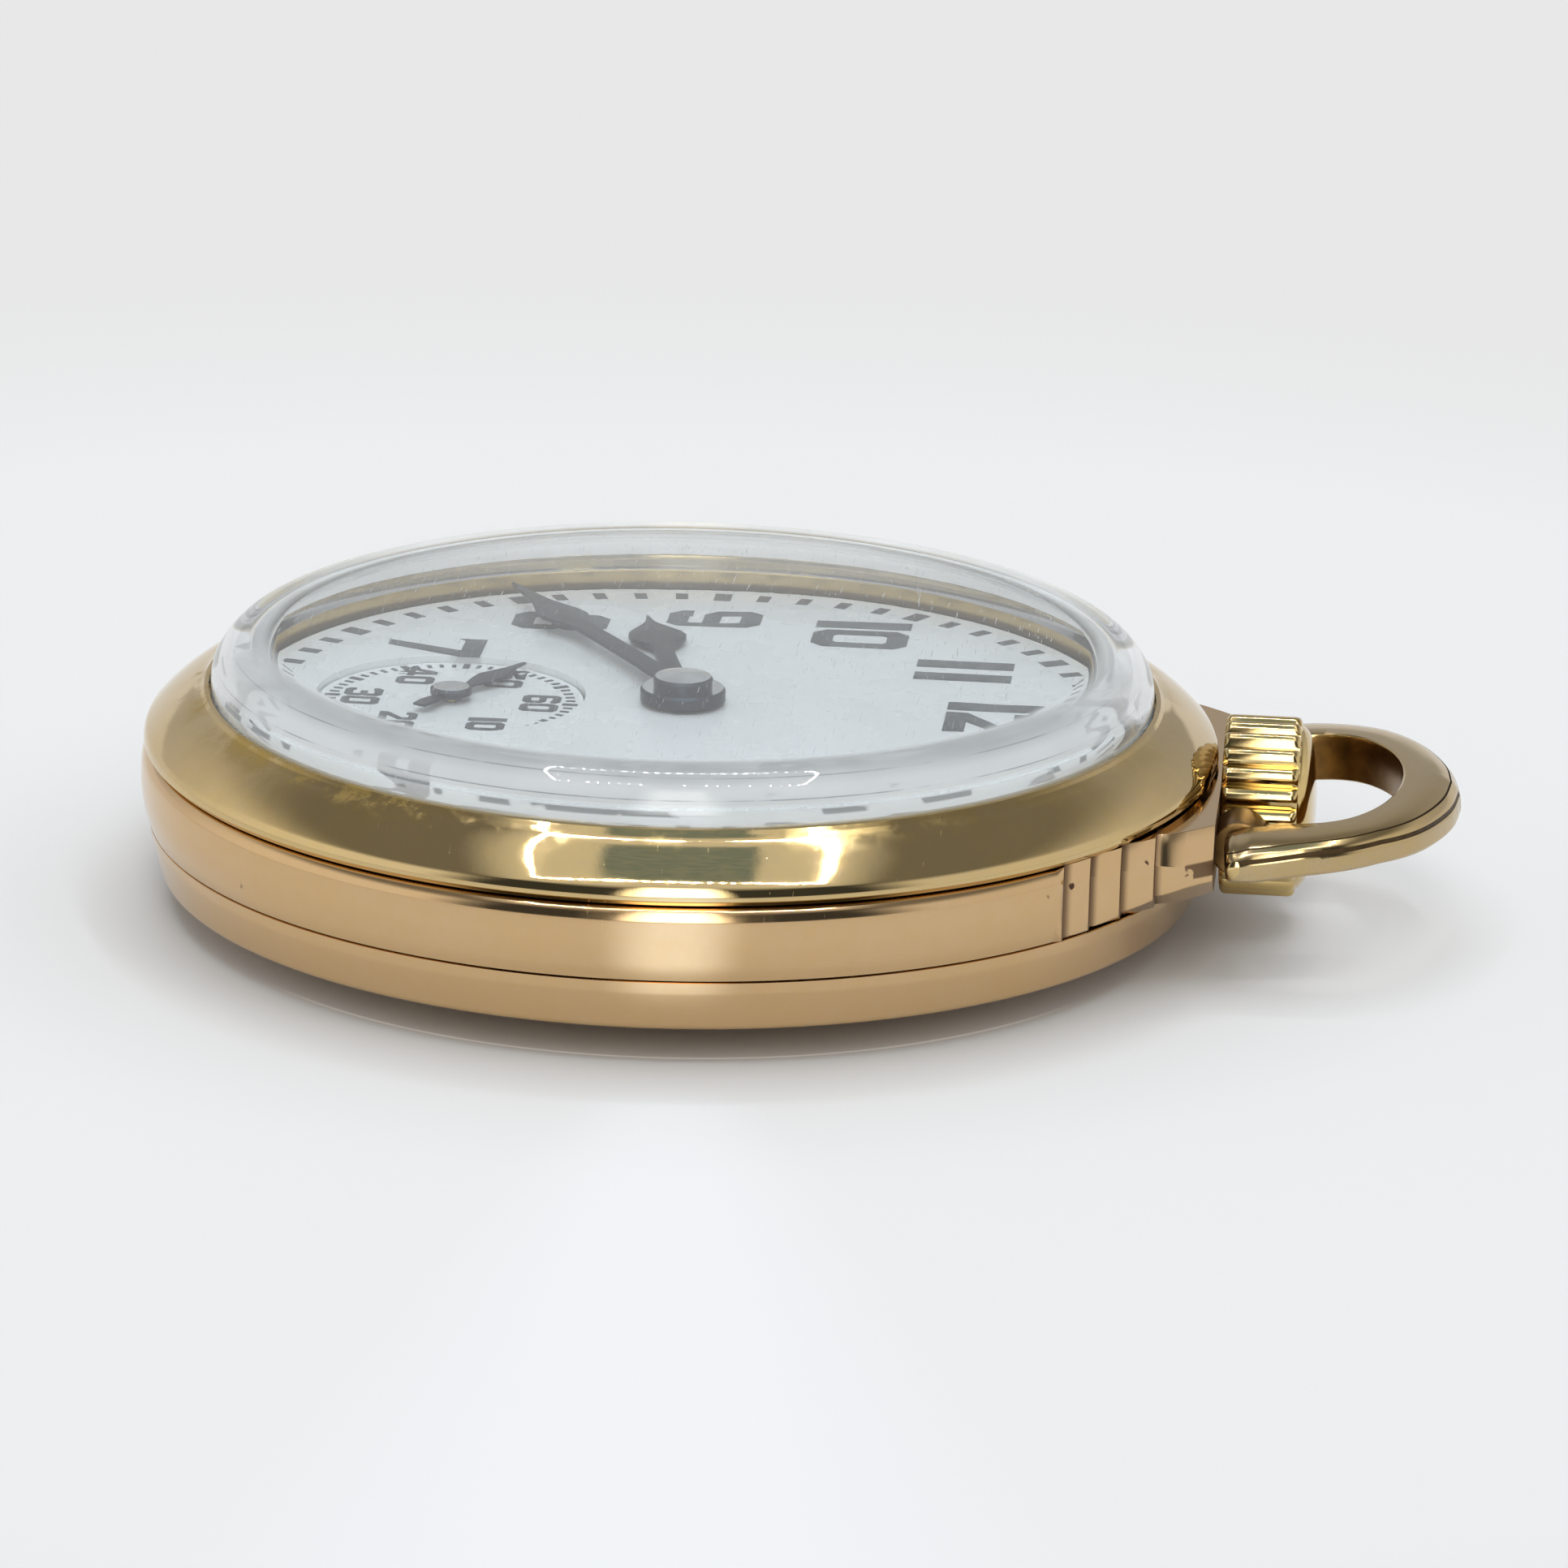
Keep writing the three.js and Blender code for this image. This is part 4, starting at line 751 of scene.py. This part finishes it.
# Half of the loop from above: the right end first, the tip last.
BOW_INNER = [(8.0, 25.86), (7.6, 25.95), (7.42, 26.15), (7.3, 26.6), (7.27, 27.2), (7.2, 27.75),
             (6.75, 28.25), (6.95, 28.9), (7.02, 29.6), (6.9, 30.5), (6.45, 31.4), (5.6, 32.2), (4.3, 32.95),
             (2.8, 33.45), (1.4, 33.7), (0, 33.78)]
BOW_OUTER = [(9.6, 25.86), (10.02, 25.95), (10.22, 26.15), (10.3, 26.6), (10.29, 27.2), (10.22, 28),
             (10.1, 28.8), (9.95, 29.6), (9.7, 30.5), (9.3, 31.5), (8.65, 32.55), (7.7, 33.65), (6.4, 34.65),
             (4.6, 35.5), (2.4, 36.15), (0, 36.42)]
# Section across the bow: [share of the width from the inner edge, height]. A broad plain facet ends at an
# engraved line, a rounded facet falls to a second line, and the outer band under it is bevelled below.
BOW_SECTION = [
    (0.0, 0.3), (0.0, 1.06), (0.015, 1.16), (0.05, 1.2), (0.3, 1.19), (0.6, 1.14), (0.8, 1.05), (0.83, 1.02),
    (0.836, 0.92), (0.85, 0.91), (0.862, 0.98), (0.90, 0.90), (0.94, 0.79), (0.968, 0.65), (0.972, 0.53),
    (0.974, 0.45), (0.986, 0.44), (0.997, 0.38), (1.0, 0.25), (1.0, -0.15), (0.99, -0.34), (0.94, -0.48),
    (0.6, -0.78), (0.1, -1.06), (0.02, -1.08), (0.0, -1.02), (0.0, -0.4),
]
BOW_TOP = max(height for _, height in BOW_SECTION)
BOW_STEPS = 75  # from an end to the tip
# The hollow sides are coloured with painted shade.
BOW_HOLLOW = (0, 25, 26)  # sides of the section that face the loop's opening
BOW_GROOVES = (7, 8, 9, 13, 14, 15)  # sides of the section down in the engraved lines


def bow_size(ahead):
    """Share of the section's height at a distance ahead of the pivot, so that the ends turn freely."""
    clear = PIVOT.y - SHOULDER_END - 0.02
    reach = clear + 0.26 * ahead if ahead > 0 else math.sqrt(clear**2 - ahead**2)
    return min(1.0, reach / BOW_TOP)


def build_bow():
    inner = curve_through(BOW_INNER, BOW_STEPS)
    outer = curve_through(BOW_OUTER, BOW_STEPS)
    sections = []
    for (ix, iy), (ox, oy) in zip(inner, outer):
        size = bow_size(iy - PIVOT.y)
        fall = 0.22 * share_of_way(oy, 29.5, 26.0) + 0.3 * share_of_way(oy, 33.0, 36.0)  # of the outer side
        section = []
        for share, height in BOW_SECTION:
            lower = fall * share_of_way(share, 0.6, 0.95)
            section.append((ix + (ox - ix) * share, iy + (oy - iy) * share, (height - lower) * size))
        sections.append(section)
    mirrored = [[(-x, y, z) for x, y, z in section] for section in reversed(sections[:-1])]
    points, faces = swept(sections + mirrored, closed=False)
    c, s = math.cos(BOW_RAISED), math.sin(BOW_RAISED)
    placed = []
    for x, y, z in points:
        away = y - PIVOT.y
        placed.append((x, PIVOT.y + c * away - s * z, STEM_Z + s * away + c * z))
    mesh = bpy.data.meshes.new("bow_loop")
    mesh.from_pydata([Vector(p) * MM for p in placed], [], faces)
    count = len(BOW_SECTION)
    skin = (len(sections) + len(mirrored) - 1) * count  # the faces after these are the two ends
    for i, polygon in enumerate(mesh.polygons):
        if i < skin:
            polygon.material_index = 1 if i % count in BOW_HOLLOW else 2 if i % count in BOW_GROOVES else 0
    bow = finish_mesh("bow_loop", mesh, "bow", bow_gold, ["bow"], smooth=24)
    # Slot 1 is the painted shade.
    bow.data.materials.append(bow_shade)
    bow.data.materials.append(groove_dirt)


def build_pins():
    for side, name in SIDES:
        node = "bow_pin_" + name
        inner, outer = sorted((abs(low(node).x), abs(high(node).x)))
        profile = [(0, inner), (0.42, inner), (0.42, outer), (0.34, outer + 0.05), (0.15, outer + 0.08),
                   (0, outer + 0.085)]
        head = lathe_on_pivot(profile, side, 32)
        add_mesh("bow_pin_head_" + name, *head, "bow", "crown_gold", crown_gold, [node])


# ---------------------------------------------------------------- dial and hands


def circle(radius, count, at=(0, 0)):
    return [turned((radius, 0), 2 * math.pi * i / count, at) for i in range(count)]


def build_dial():
    hole = SECONDS_R + 0.1
    face = flat_mesh("dial_face", [
        circle(DIAL_R, 192), circle(1.5, 48), circle(hole, 96, SECONDS_AT.xy),
    ], (DIAL_TOP - 0.6, DIAL_TOP))
    finish_mesh("dial_face", face, "case", enamel, ["dial"], bevel=0.06)
    sunk = flat_mesh("seconds_face", [circle(SECONDS_R, 96, SECONDS_AT.xy), circle(0.5, 24, SECONDS_AT.xy)],
                     (SECONDS_TOP - 0.65, SECONDS_TOP))
    finish_mesh("seconds_face", sunk, "case", enamel, ["seconds_dial"])


# Numerals are outlines of bold squared figures, holes after the outside.
W, H = 3.2, 4.75  # width and height of a figure
S, T = 0.88, 1.05  # thickness of its upright and its level strokes
C = 0.62  # its cut corners


def box_outline(x0, y0, x1, y1, cut=0.0):
    if not cut:
        return [(x0, y0), (x1, y0), (x1, y1), (x0, y1)]
    return [(x0 + cut, y0), (x1 - cut, y0), (x1, y0 + cut), (x1, y1 - cut),
            (x1 - cut, y1), (x0 + cut, y1), (x0, y1 - cut), (x0, y0 + cut)]


ONE_W = 1.25
FIGURES = {
    "0": [box_outline(0, 0, W, H, C), box_outline(S, T, W - S, H - T, 0.2)],
    "1": [box_outline(0, 0, ONE_W, H)],
    "2": [[(0, 0), (W, 0), (W, T), (1.5, T), (W, 2.6), (W, H - C), (W - C, H), (C, H), (0, H - C),
           (0, 3.3), (S, 3.3), (S + 0.1, H - T), (W - S - 0.1, H - T), (W - S, 2.9), (0, T)]],
    "3": [[(C, 0), (W - C, 0), (W, C), (W, 2.1), (W - 0.3, 2.42), (W, 2.74), (W, H - C), (W - C, H),
           (C, H), (0, H - C), (0, 3.5), (S, 3.5), (S, H - T), (W - S, H - T), (W - S, 2.88),
           (1.1, 2.88), (1.1, 1.96), (W - S, 1.96), (W - S, T), (S, T), (S, 1.35), (0, 1.35), (0, C)]],
    "4": [[(1.7, 0), (1.7 + S, 0), (1.7 + S, 1.05), (W, 1.05), (W, 1.95), (1.7 + S, 1.95), (1.7 + S, H),
           (1.45, H), (0, 2.0), (0, 1.05), (1.7, 1.05)], [(0.8, 1.95), (1.7, 1.95), (1.7, 3.5)]],
    "5": [[(C, 0), (W - C, 0), (W, C), (W, 2.5), (W - C, 3.05), (S, 3.05), (S, H - T), (W - 0.15, H - T),
           (W - 0.15, H), (0, H), (0, 2.15), (W - S, 2.15), (W - S, T), (S, T), (S, 1.35), (0, 1.35),
           (0, C)]],
    "6": [[(C, 0), (W - C, 0), (W, C), (W, 2.3), (W - C, 2.95), (S, 2.95), (S, H - T), (W - S, H - T),
           (W - S, 3.55), (W, 3.55), (W, H - C), (W - C, H), (C, H), (0, H - C), (0, C)],
          box_outline(S, T, W - S, 2.05)],
    "7": [[(0.6, 0), (1.45, 0), (W, H - T), (W, H), (0, H), (0, H - T - 0.35), (0.3, H - T), (2.1, H - T)]],
    "8": [[(C, 0), (W - C, 0), (W, C), (W, 2.05), (W - 0.32, 2.42), (W, 2.8), (W, H - C), (W - C, H),
           (C, H), (0, H - C), (0, 2.8), (0.32, 2.42), (0, 2.05), (0, C)],
          box_outline(S, T, W - S, 1.98), box_outline(S, 2.86, W - S, H - T)],
}
FIGURES["9"] = [[(W - x, H - y) for x, y in outline] for outline in FIGURES["6"]]


def number(value, centre, size, gap):
    """Outlines of an upright number with its middle at a point."""
    parts = [(FIGURES[figure], ONE_W if figure == "1" else W) for figure in str(value)]
    total = sum(width for _, width in parts) + gap * (len(parts) - 1)
    outlines, x = [], -total / 2
    for shapes, width in parts:
        for shape in shapes:
            outlines.append([
                (centre[0] + (x + px) * size, centre[1] + (py - H / 2) * size) for px, py in shape
            ])
        x += width + gap
    return outlines


HOUR_REACH = (15.2, 14.6)  # of the hours' middles, across and along the dial
HOUR_SIZE = 0.97
BESIDE_SECONDS = (1, 5)
MINUTE_R = 19.35
SECOND_MARK_R = 5.6
SECOND_NUMBER_R = 4.2
INK = (0.002, 0.022)  # bottom and top of the printing above its surface


def minute_angle(minute):
    return math.radians(90 - 6 * minute)


def ring_of_marks(radius, plain, fifth, centre=(0, 0)):
    """Sixty marks. plain and fifth are their half width and half length."""
    marks = []
    for minute in range(60):
        half, long = plain if minute % 5 else fifth
        mark = box_outline(radius - long, -half, radius + long, half)
        marks.append([turned(p, minute_angle(minute), centre) for p in mark])
    return marks


def build_print():
    """The dial's printing: hours, minute marks and the seconds ring."""
    hours = []
    for hour in [*range(1, 6), *range(7, 13)]:
        angle = minute_angle(5 * hour)
        across = 19.8 if hour in BESIDE_SECONDS else HOUR_REACH[0]
        at = (across * math.cos(angle), HOUR_REACH[1] * math.sin(angle))
        hours += number(hour, at, HOUR_SIZE, 0.95 if hour == 11 else 0.4)
    print_piece("dial_numerals", hours, DIAL_TOP)
    print_piece("minute_marks", ring_of_marks(MINUTE_R, (0.3, 0.5), (0.42, 0.62)), DIAL_TOP)
    centre = SECONDS_AT.xy
    seconds = ring_of_marks(SECOND_MARK_R, (0.1, 0.22), (0.16, 0.36), centre)
    for value in range(10, 70, 10):
        seconds += number(value, turned((SECOND_NUMBER_R, 0), minute_angle(value), centre), 0.38, 0.45)
    print_piece("seconds_print", seconds, SECONDS_TOP)


def print_piece(name, outlines, surface):
    mesh = flat_mesh(name, outlines, (surface + INK[0], surface + INK[1]))
    finish_mesh(name, mesh, "case", ink)


HANDS = {  # body, centre, turn from 12 o'clock, [distance along the hand, half width]
    "hour_hand": ("hour_wheel", (0, 0), 103, [
        (1.2, 0.55), (7.4, 0.45), (8.1, 0.55), (8.7, 1.0), (9.3, 1.32), (10.0, 1.42), (10.7, 1.28),
        (11.4, 0.95), (12.2, 0.55), (12.9, 0.26), (14.1, 0.04)]),
    "minute_hand": ("center_wheel", (0, 0), 121, [
        (0.9, 0.58), (11.0, 0.52), (11.8, 0.68), (12.6, 1.0), (13.5, 1.2), (14.4, 1.08), (15.3, 0.75),
        (16.4, 0.42), (19.6, 0.05)]),
    "seconds_hand": ("fourth_wheel", SECONDS_AT.xy, 62, [
        (-2.6, 0.34), (-1.9, 0.42), (-0.7, 0.3), (1.6, 0.3), (2.4, 0.55), (3.2, 0.7), (4.0, 0.5), (4.8, 0.22),
        (6.05, 0.08)]),
}
BOSSES = {  # outlines of the bosses: radius and height above the foot of the hand
    "hour_hand": [(1.25, 0), (2.0, 0), (2.0, 0.5), (1.9, 0.62), (1.25, 0.62)],
    "minute_hand": [(0, -0.02), (1.2, 0), (1.35, 0.06), (1.4, 0.6), (1.3, 0.72), (0.7, 0.8), (0, 0.82)],
    "seconds_hand": [(0, -0.01), (0.9, 0), (0.98, 0.05), (0.98, 0.3), (0.85, 0.4), (0, 0.44)],
}


def build_hands():
    for node, (body, centre, degrees, stations) in HANDS.items():
        angle = math.radians(degrees)
        sides = [(-half, y) for y, half in stations] + [(half, y) for y, half in reversed(stations)]
        blade = [turned(p, angle, centre) for p in sides]
        z0, z1 = low(node).z + LIFT, high(node).z + LIFT
        mesh = flat_mesh(node + "_blade", [blade], (z0 + 0.04, z1 - 0.05))
        finish_mesh(node + "_blade", mesh, body, blued, [node], bevel=0.04)
        profile = [(r, z0 + z) for r, z in BOSSES[node]]
        boss = add_mesh(node + "_boss", *lathe(profile, centre, 64), body, "blued_steel", blued, smooth=30)
        boss.data.materials.append(polished)
        for polygon in boss.data.polygons:
            polygon.material_index = int(polygon.normal.z > 0.9)


# ---------------------------------------------------------------- stage


BACKDROP = 0.806  # light grey of the plain surroundings
# The bright line is painted light, standing in for a caustic thrown down by the band.
CAUSTIC_RING = (23.025, 23.225)  # bright line on the table under the case, towards the front


def add_stage(name, points, faces, material):
    """Object of the surroundings, from points in millimetres."""
    mesh = bpy.data.meshes.new(name)
    mesh.from_pydata([Vector(p) * MM for p in points], [], faces)
    mesh.materials.append(material)
    piece = bpy.data.objects.new(name, mesh)
    bpy.context.scene.collection.objects.link(piece)
    return piece


def build_floor():
    s = Shader("floor_paper")
    tone = s.mix(s.noise(40.0, 3.0), (0.685, 0.69, 0.70), (0.695, 0.70, 0.71))
    away = s.radius()
    # Painted shadow: the paper is darker within about 26 to 40 mm of the watch's middle.
    tone = s.mix(s.ramp(away, 26 * MM, 40 * MM), (0.595, 0.595, 0.60), tone)
    # Painted caustic: a lighter line on the paper in front of the watch.
    painted_caustic = s.times(s.between(away, CAUSTIC_RING[0] * MM, CAUSTIC_RING[1] * MM, 0.075 * MM),
                  s.ramp(s.along(FRONT), 13 * MM, 19 * MM))
    tone = s.mix(s.times(painted_caustic, 0.75), tone, (0.95, 0.95, 0.95))
    paper = s.principled(Base_Color=tone, Roughness=0.8)
    backdrop = s.add("ShaderNodeEmission", {"Color": (BACKDROP, BACKDROP, BACKDROP), "Strength": 1.0})
    far = s.most(s.ramp(away, 24 * MM, 36 * MM, 0.0, 0.5), s.ramp(away, 36 * MM, 130 * MM))
    both = s.add("ShaderNodeMixShader", {0: far, 1: paper.outputs[0], 2: backdrop.outputs[0]})
    size, drop = 2500, 0.02
    points = [(-size, -size, -drop), (size, -size, -drop), (size, size, -drop), (-size, size, -drop)]
    add_stage("floor", points, [(0, 1, 2, 3)], s.finish(both.outputs[0]))


CAMERA_ELEVATION = math.radians(17.256)
CAMERA_AZIMUTH = math.radians(4.9)
CAMERA_ROLL = math.radians(1.333)
CAMERA_OFFSET = Vector((-4.713, -4.626, 400))
CAMERA_LENS = 196.81


def in_watch_frame(x, y, z):
    """Vector in the watch's frame of one in the frame whose x is the picture's right."""
    c, s = math.cos(CAMERA_AZIMUTH), math.sin(CAMERA_AZIMUTH)
    along, across = x * c - y * s, x * s + y * c
    return Vector((-across, along, z))


def build_camera():
    e, r = CAMERA_ELEVATION, CAMERA_ROLL
    across, fall = Vector((1, 0, 0)), Vector((0, -math.sin(e), -math.cos(e)))
    right = math.cos(r) * across - math.sin(r) * fall
    down = math.sin(r) * across + math.cos(r) * fall
    forward = Vector((0, math.cos(e), -math.sin(e)))
    right, down, forward = (in_watch_frame(*axis) for axis in (right, down, forward))
    target = Vector((0, 0, CRYSTAL_SEAM))
    place = target - (CAMERA_OFFSET.x * right + CAMERA_OFFSET.y * down + CAMERA_OFFSET.z * forward)
    data = bpy.data.cameras.new("camera")
    data.lens = CAMERA_LENS
    data.sensor_width = 36
    data.clip_start = 0.01
    data.clip_end = 20
    camera = bpy.data.objects.new("camera", data)
    matrix = Matrix((right, -down, -forward)).transposed().to_4x4()
    matrix.translation = place * MM
    camera.matrix_world = matrix
    bpy.context.scene.collection.objects.link(camera)
    bpy.context.scene.camera = camera


FRONT = in_watch_frame(0, -1, 0)
SIDE = in_watch_frame(1, 0, 0)
CEILING = 350
LAMP_REACH = 0.43  # of the lamp frame ahead of the zenith and behind it, per unit of height
LAMP_HALF, LAMP_TAPER = 0.30, 0.26  # its half width at the zenith and how it grows ahead


def build_lamps():
    """A frame of small lamps over the watch, as in a light box."""
    reach = LAMP_REACH
    front, back = LAMP_HALF + LAMP_TAPER * reach, LAMP_HALF - LAMP_TAPER * reach
    corners = [(-front, reach), (front, reach), (back, -reach), (-back, -reach)]
    points, faces = [], []
    per_side, size = 24, 1.3
    for i in range(4):
        (x0, y0), (x1, y1) = corners[i], corners[(i + 1) % 4]
        for k in range(per_side):
            share = (k + 0.5) / per_side
            centre = (SIDE * (x0 + (x1 - x0) * share) + FRONT * (y0 + (y1 - y0) * share)) * CEILING
            base = len(points)
            for dx, dy in ((-size, -size), (size, -size), (size, size), (-size, size)):
                points.append((centre.x + dx, centre.y + dy, CEILING))
            faces.append((base, base + 3, base + 2, base + 1))
    s = Shader("lamp_light")
    glow = s.add("ShaderNodeEmission", {"Color": (0.93, 0.97, 1.0), "Strength": 380.0})
    lamps = add_stage("lamps", points, faces, s.finish(glow.outputs[0]))
    lamps.visible_camera = False


CARD_REACH = (26.4, 200)  # of the card in front of the watch
CARD_HEIGHT = 0.6
CARD_SPREAD = 0.42  # its half width per millimetre of distance


def build_card():
    """Soft light low in front of the watch. Only polished surfaces show it."""
    near, far = CARD_REACH
    corners = [(near, -CARD_SPREAD), (near, CARD_SPREAD), (far, CARD_SPREAD), (far, -CARD_SPREAD)]
    points = [FRONT * d + SIDE * (d * spread) + Vector((0, 0, CARD_HEIGHT)) for d, spread in corners]
    s = Shader("card_light")
    ahead = s.math("SUBTRACT", s.along(FRONT), BAND_R * MM)
    half = s.plus(BAND_R * MM, s.times(ahead, 2.0))
    off = s.math("ABSOLUTE", s.math("DIVIDE", s.along(SIDE), half))
    shown = s.times(s.ramp(off, 0.02, 0.15, 1.0, 0.0), s.ramp(ahead, 1 * MM, 5 * MM))
    glow = s.add("ShaderNodeEmission", {"Color": (0.88, 0.98, 1.15), "Strength": 1.65})
    clear = s.add("ShaderNodeBsdfTransparent")
    both = s.add("ShaderNodeMixShader", {0: shown, 1: clear.outputs[0], 2: glow.outputs[0]})
    card = add_stage("front_card", points, [(0, 1, 2, 3)], s.finish(both.outputs[0]))
    card.visible_camera = False
    card.visible_diffuse = False
    card.visible_shadow = False
    card.visible_transmission = False


def build_world():
    """The light box seen from the watch: pale walls, darker ceiling corners, a hole in the ceiling and the
    open front with a dark room behind it."""
    s = Shader("light_box", world=True)
    deg = math.radians
    up = s.xyz()[2]
    front, side = s.along(FRONT), s.along(SIDE)
    elevation = s.math("ARCSINE", up)
    turn = s.math("ABSOLUTE", s.math("ARCTAN2", side, front))
    sides = s.times(s.ramp(turn, deg(95), deg(165), 0.95, 0.5), s.ramp(side, -0.3, 0.3, 1.05, 0.9))
    sides = s.most(sides, s.ramp(elevation, deg(9), deg(14), 0.8, 0.0))
    walls = s.plus(s.times(sides, s.ramp(elevation, deg(26), deg(46), 1.0, 0.0)),
                   s.ramp(elevation, deg(26), deg(46), 0.0, 0.24))
    ahead, beside = (s.math("DIVIDE", way, s.most(up, 0.05)) for way in (front, side))
    half = s.most(s.plus(s.times(ahead, LAMP_TAPER), LAMP_HALF), 0.05)

    def from_zenith(reach, width):
        """0 at the zenith and 1 at the edge of a frame in the ceiling."""
        return s.most(s.math("ABSOLUTE", s.math("DIVIDE", ahead, reach)),
                      s.math("ABSOLUTE", s.math("DIVIDE", beside, width)))

    overhead = s.ramp(up, 0.3, 0.4)
    glow = s.times(s.ramp(from_zenith(LAMP_REACH, half), 1.0, 1.7, 0.92, 0.0), overhead)
    inside = from_zenith(0.80 * LAMP_REACH, s.times(half, 0.5))
    hole = s.times(s.ramp(inside, 0.92, 1.12, 1.0, 0.0), overhead)
    opening = s.times(s.between(elevation, deg(1), deg(46), deg(2)), s.ramp(turn, deg(38), deg(56), 1.0, 0.0))
    lamp = s.times(s.between(elevation, deg(2), deg(60), deg(3)), s.ramp(turn, deg(5), deg(14), 1.0, 0.0))
    mottled = s.ramp(s.noise(26.0, 3.0, 0.6), 0.35, 0.65)
    dark = s.mix(mottled, (0.24, 0.33, 0.40), (0.31, 0.39, 0.45))
    light = s.add("ShaderNodeCombineColor", {0: walls, 1: walls, 2: walls}).outputs[0]
    for share, tone in ((glow, (0.93, 0.96, 1.0)), (hole, dark), (opening, (0.06, 0.065, 0.07)),
                        (lamp, (5.0, 5.0, 4.8))):
        light = s.mix(share, light, tone)
    spread = s.add("ShaderNodeLightPath").outputs["Is Diffuse Ray"]
    strength = s.plus(1.0, s.times(spread, 0.45))
    background = s.add("ShaderNodeBackground", {"Color": light, "Strength": strength})
    bpy.context.scene.world = s.finish(background.outputs[0])


# ---------------------------------------------------------------- build

SLOT_MATERIALS = {"steel": steel, "nickel": nickel, "brass": brass, "blued_steel": blued}


def dress_movement():
    """CAD nodes that stay as they are get the material of their slot."""
    slots = {part["node"]: part["material_slot"] for part in frame["record"]["subparts"]}
    for name, node in frame["nodes"].items():
        if slots.get(name) in SLOT_MATERIALS:
            node.data.materials.clear()
            node.data.materials.append(SLOT_MATERIALS[slots[name]])


build_crystal()
build_bezel()
build_back()
build_middle()
build_knuckles()
build_crown()
build_bow()
build_pins()
build_dial()
build_print()
build_hands()
dress_movement()
build_floor()
build_lamps()
build_card()
build_world()
build_camera()
bpy.context.scene.view_settings.view_transform = "Standard"
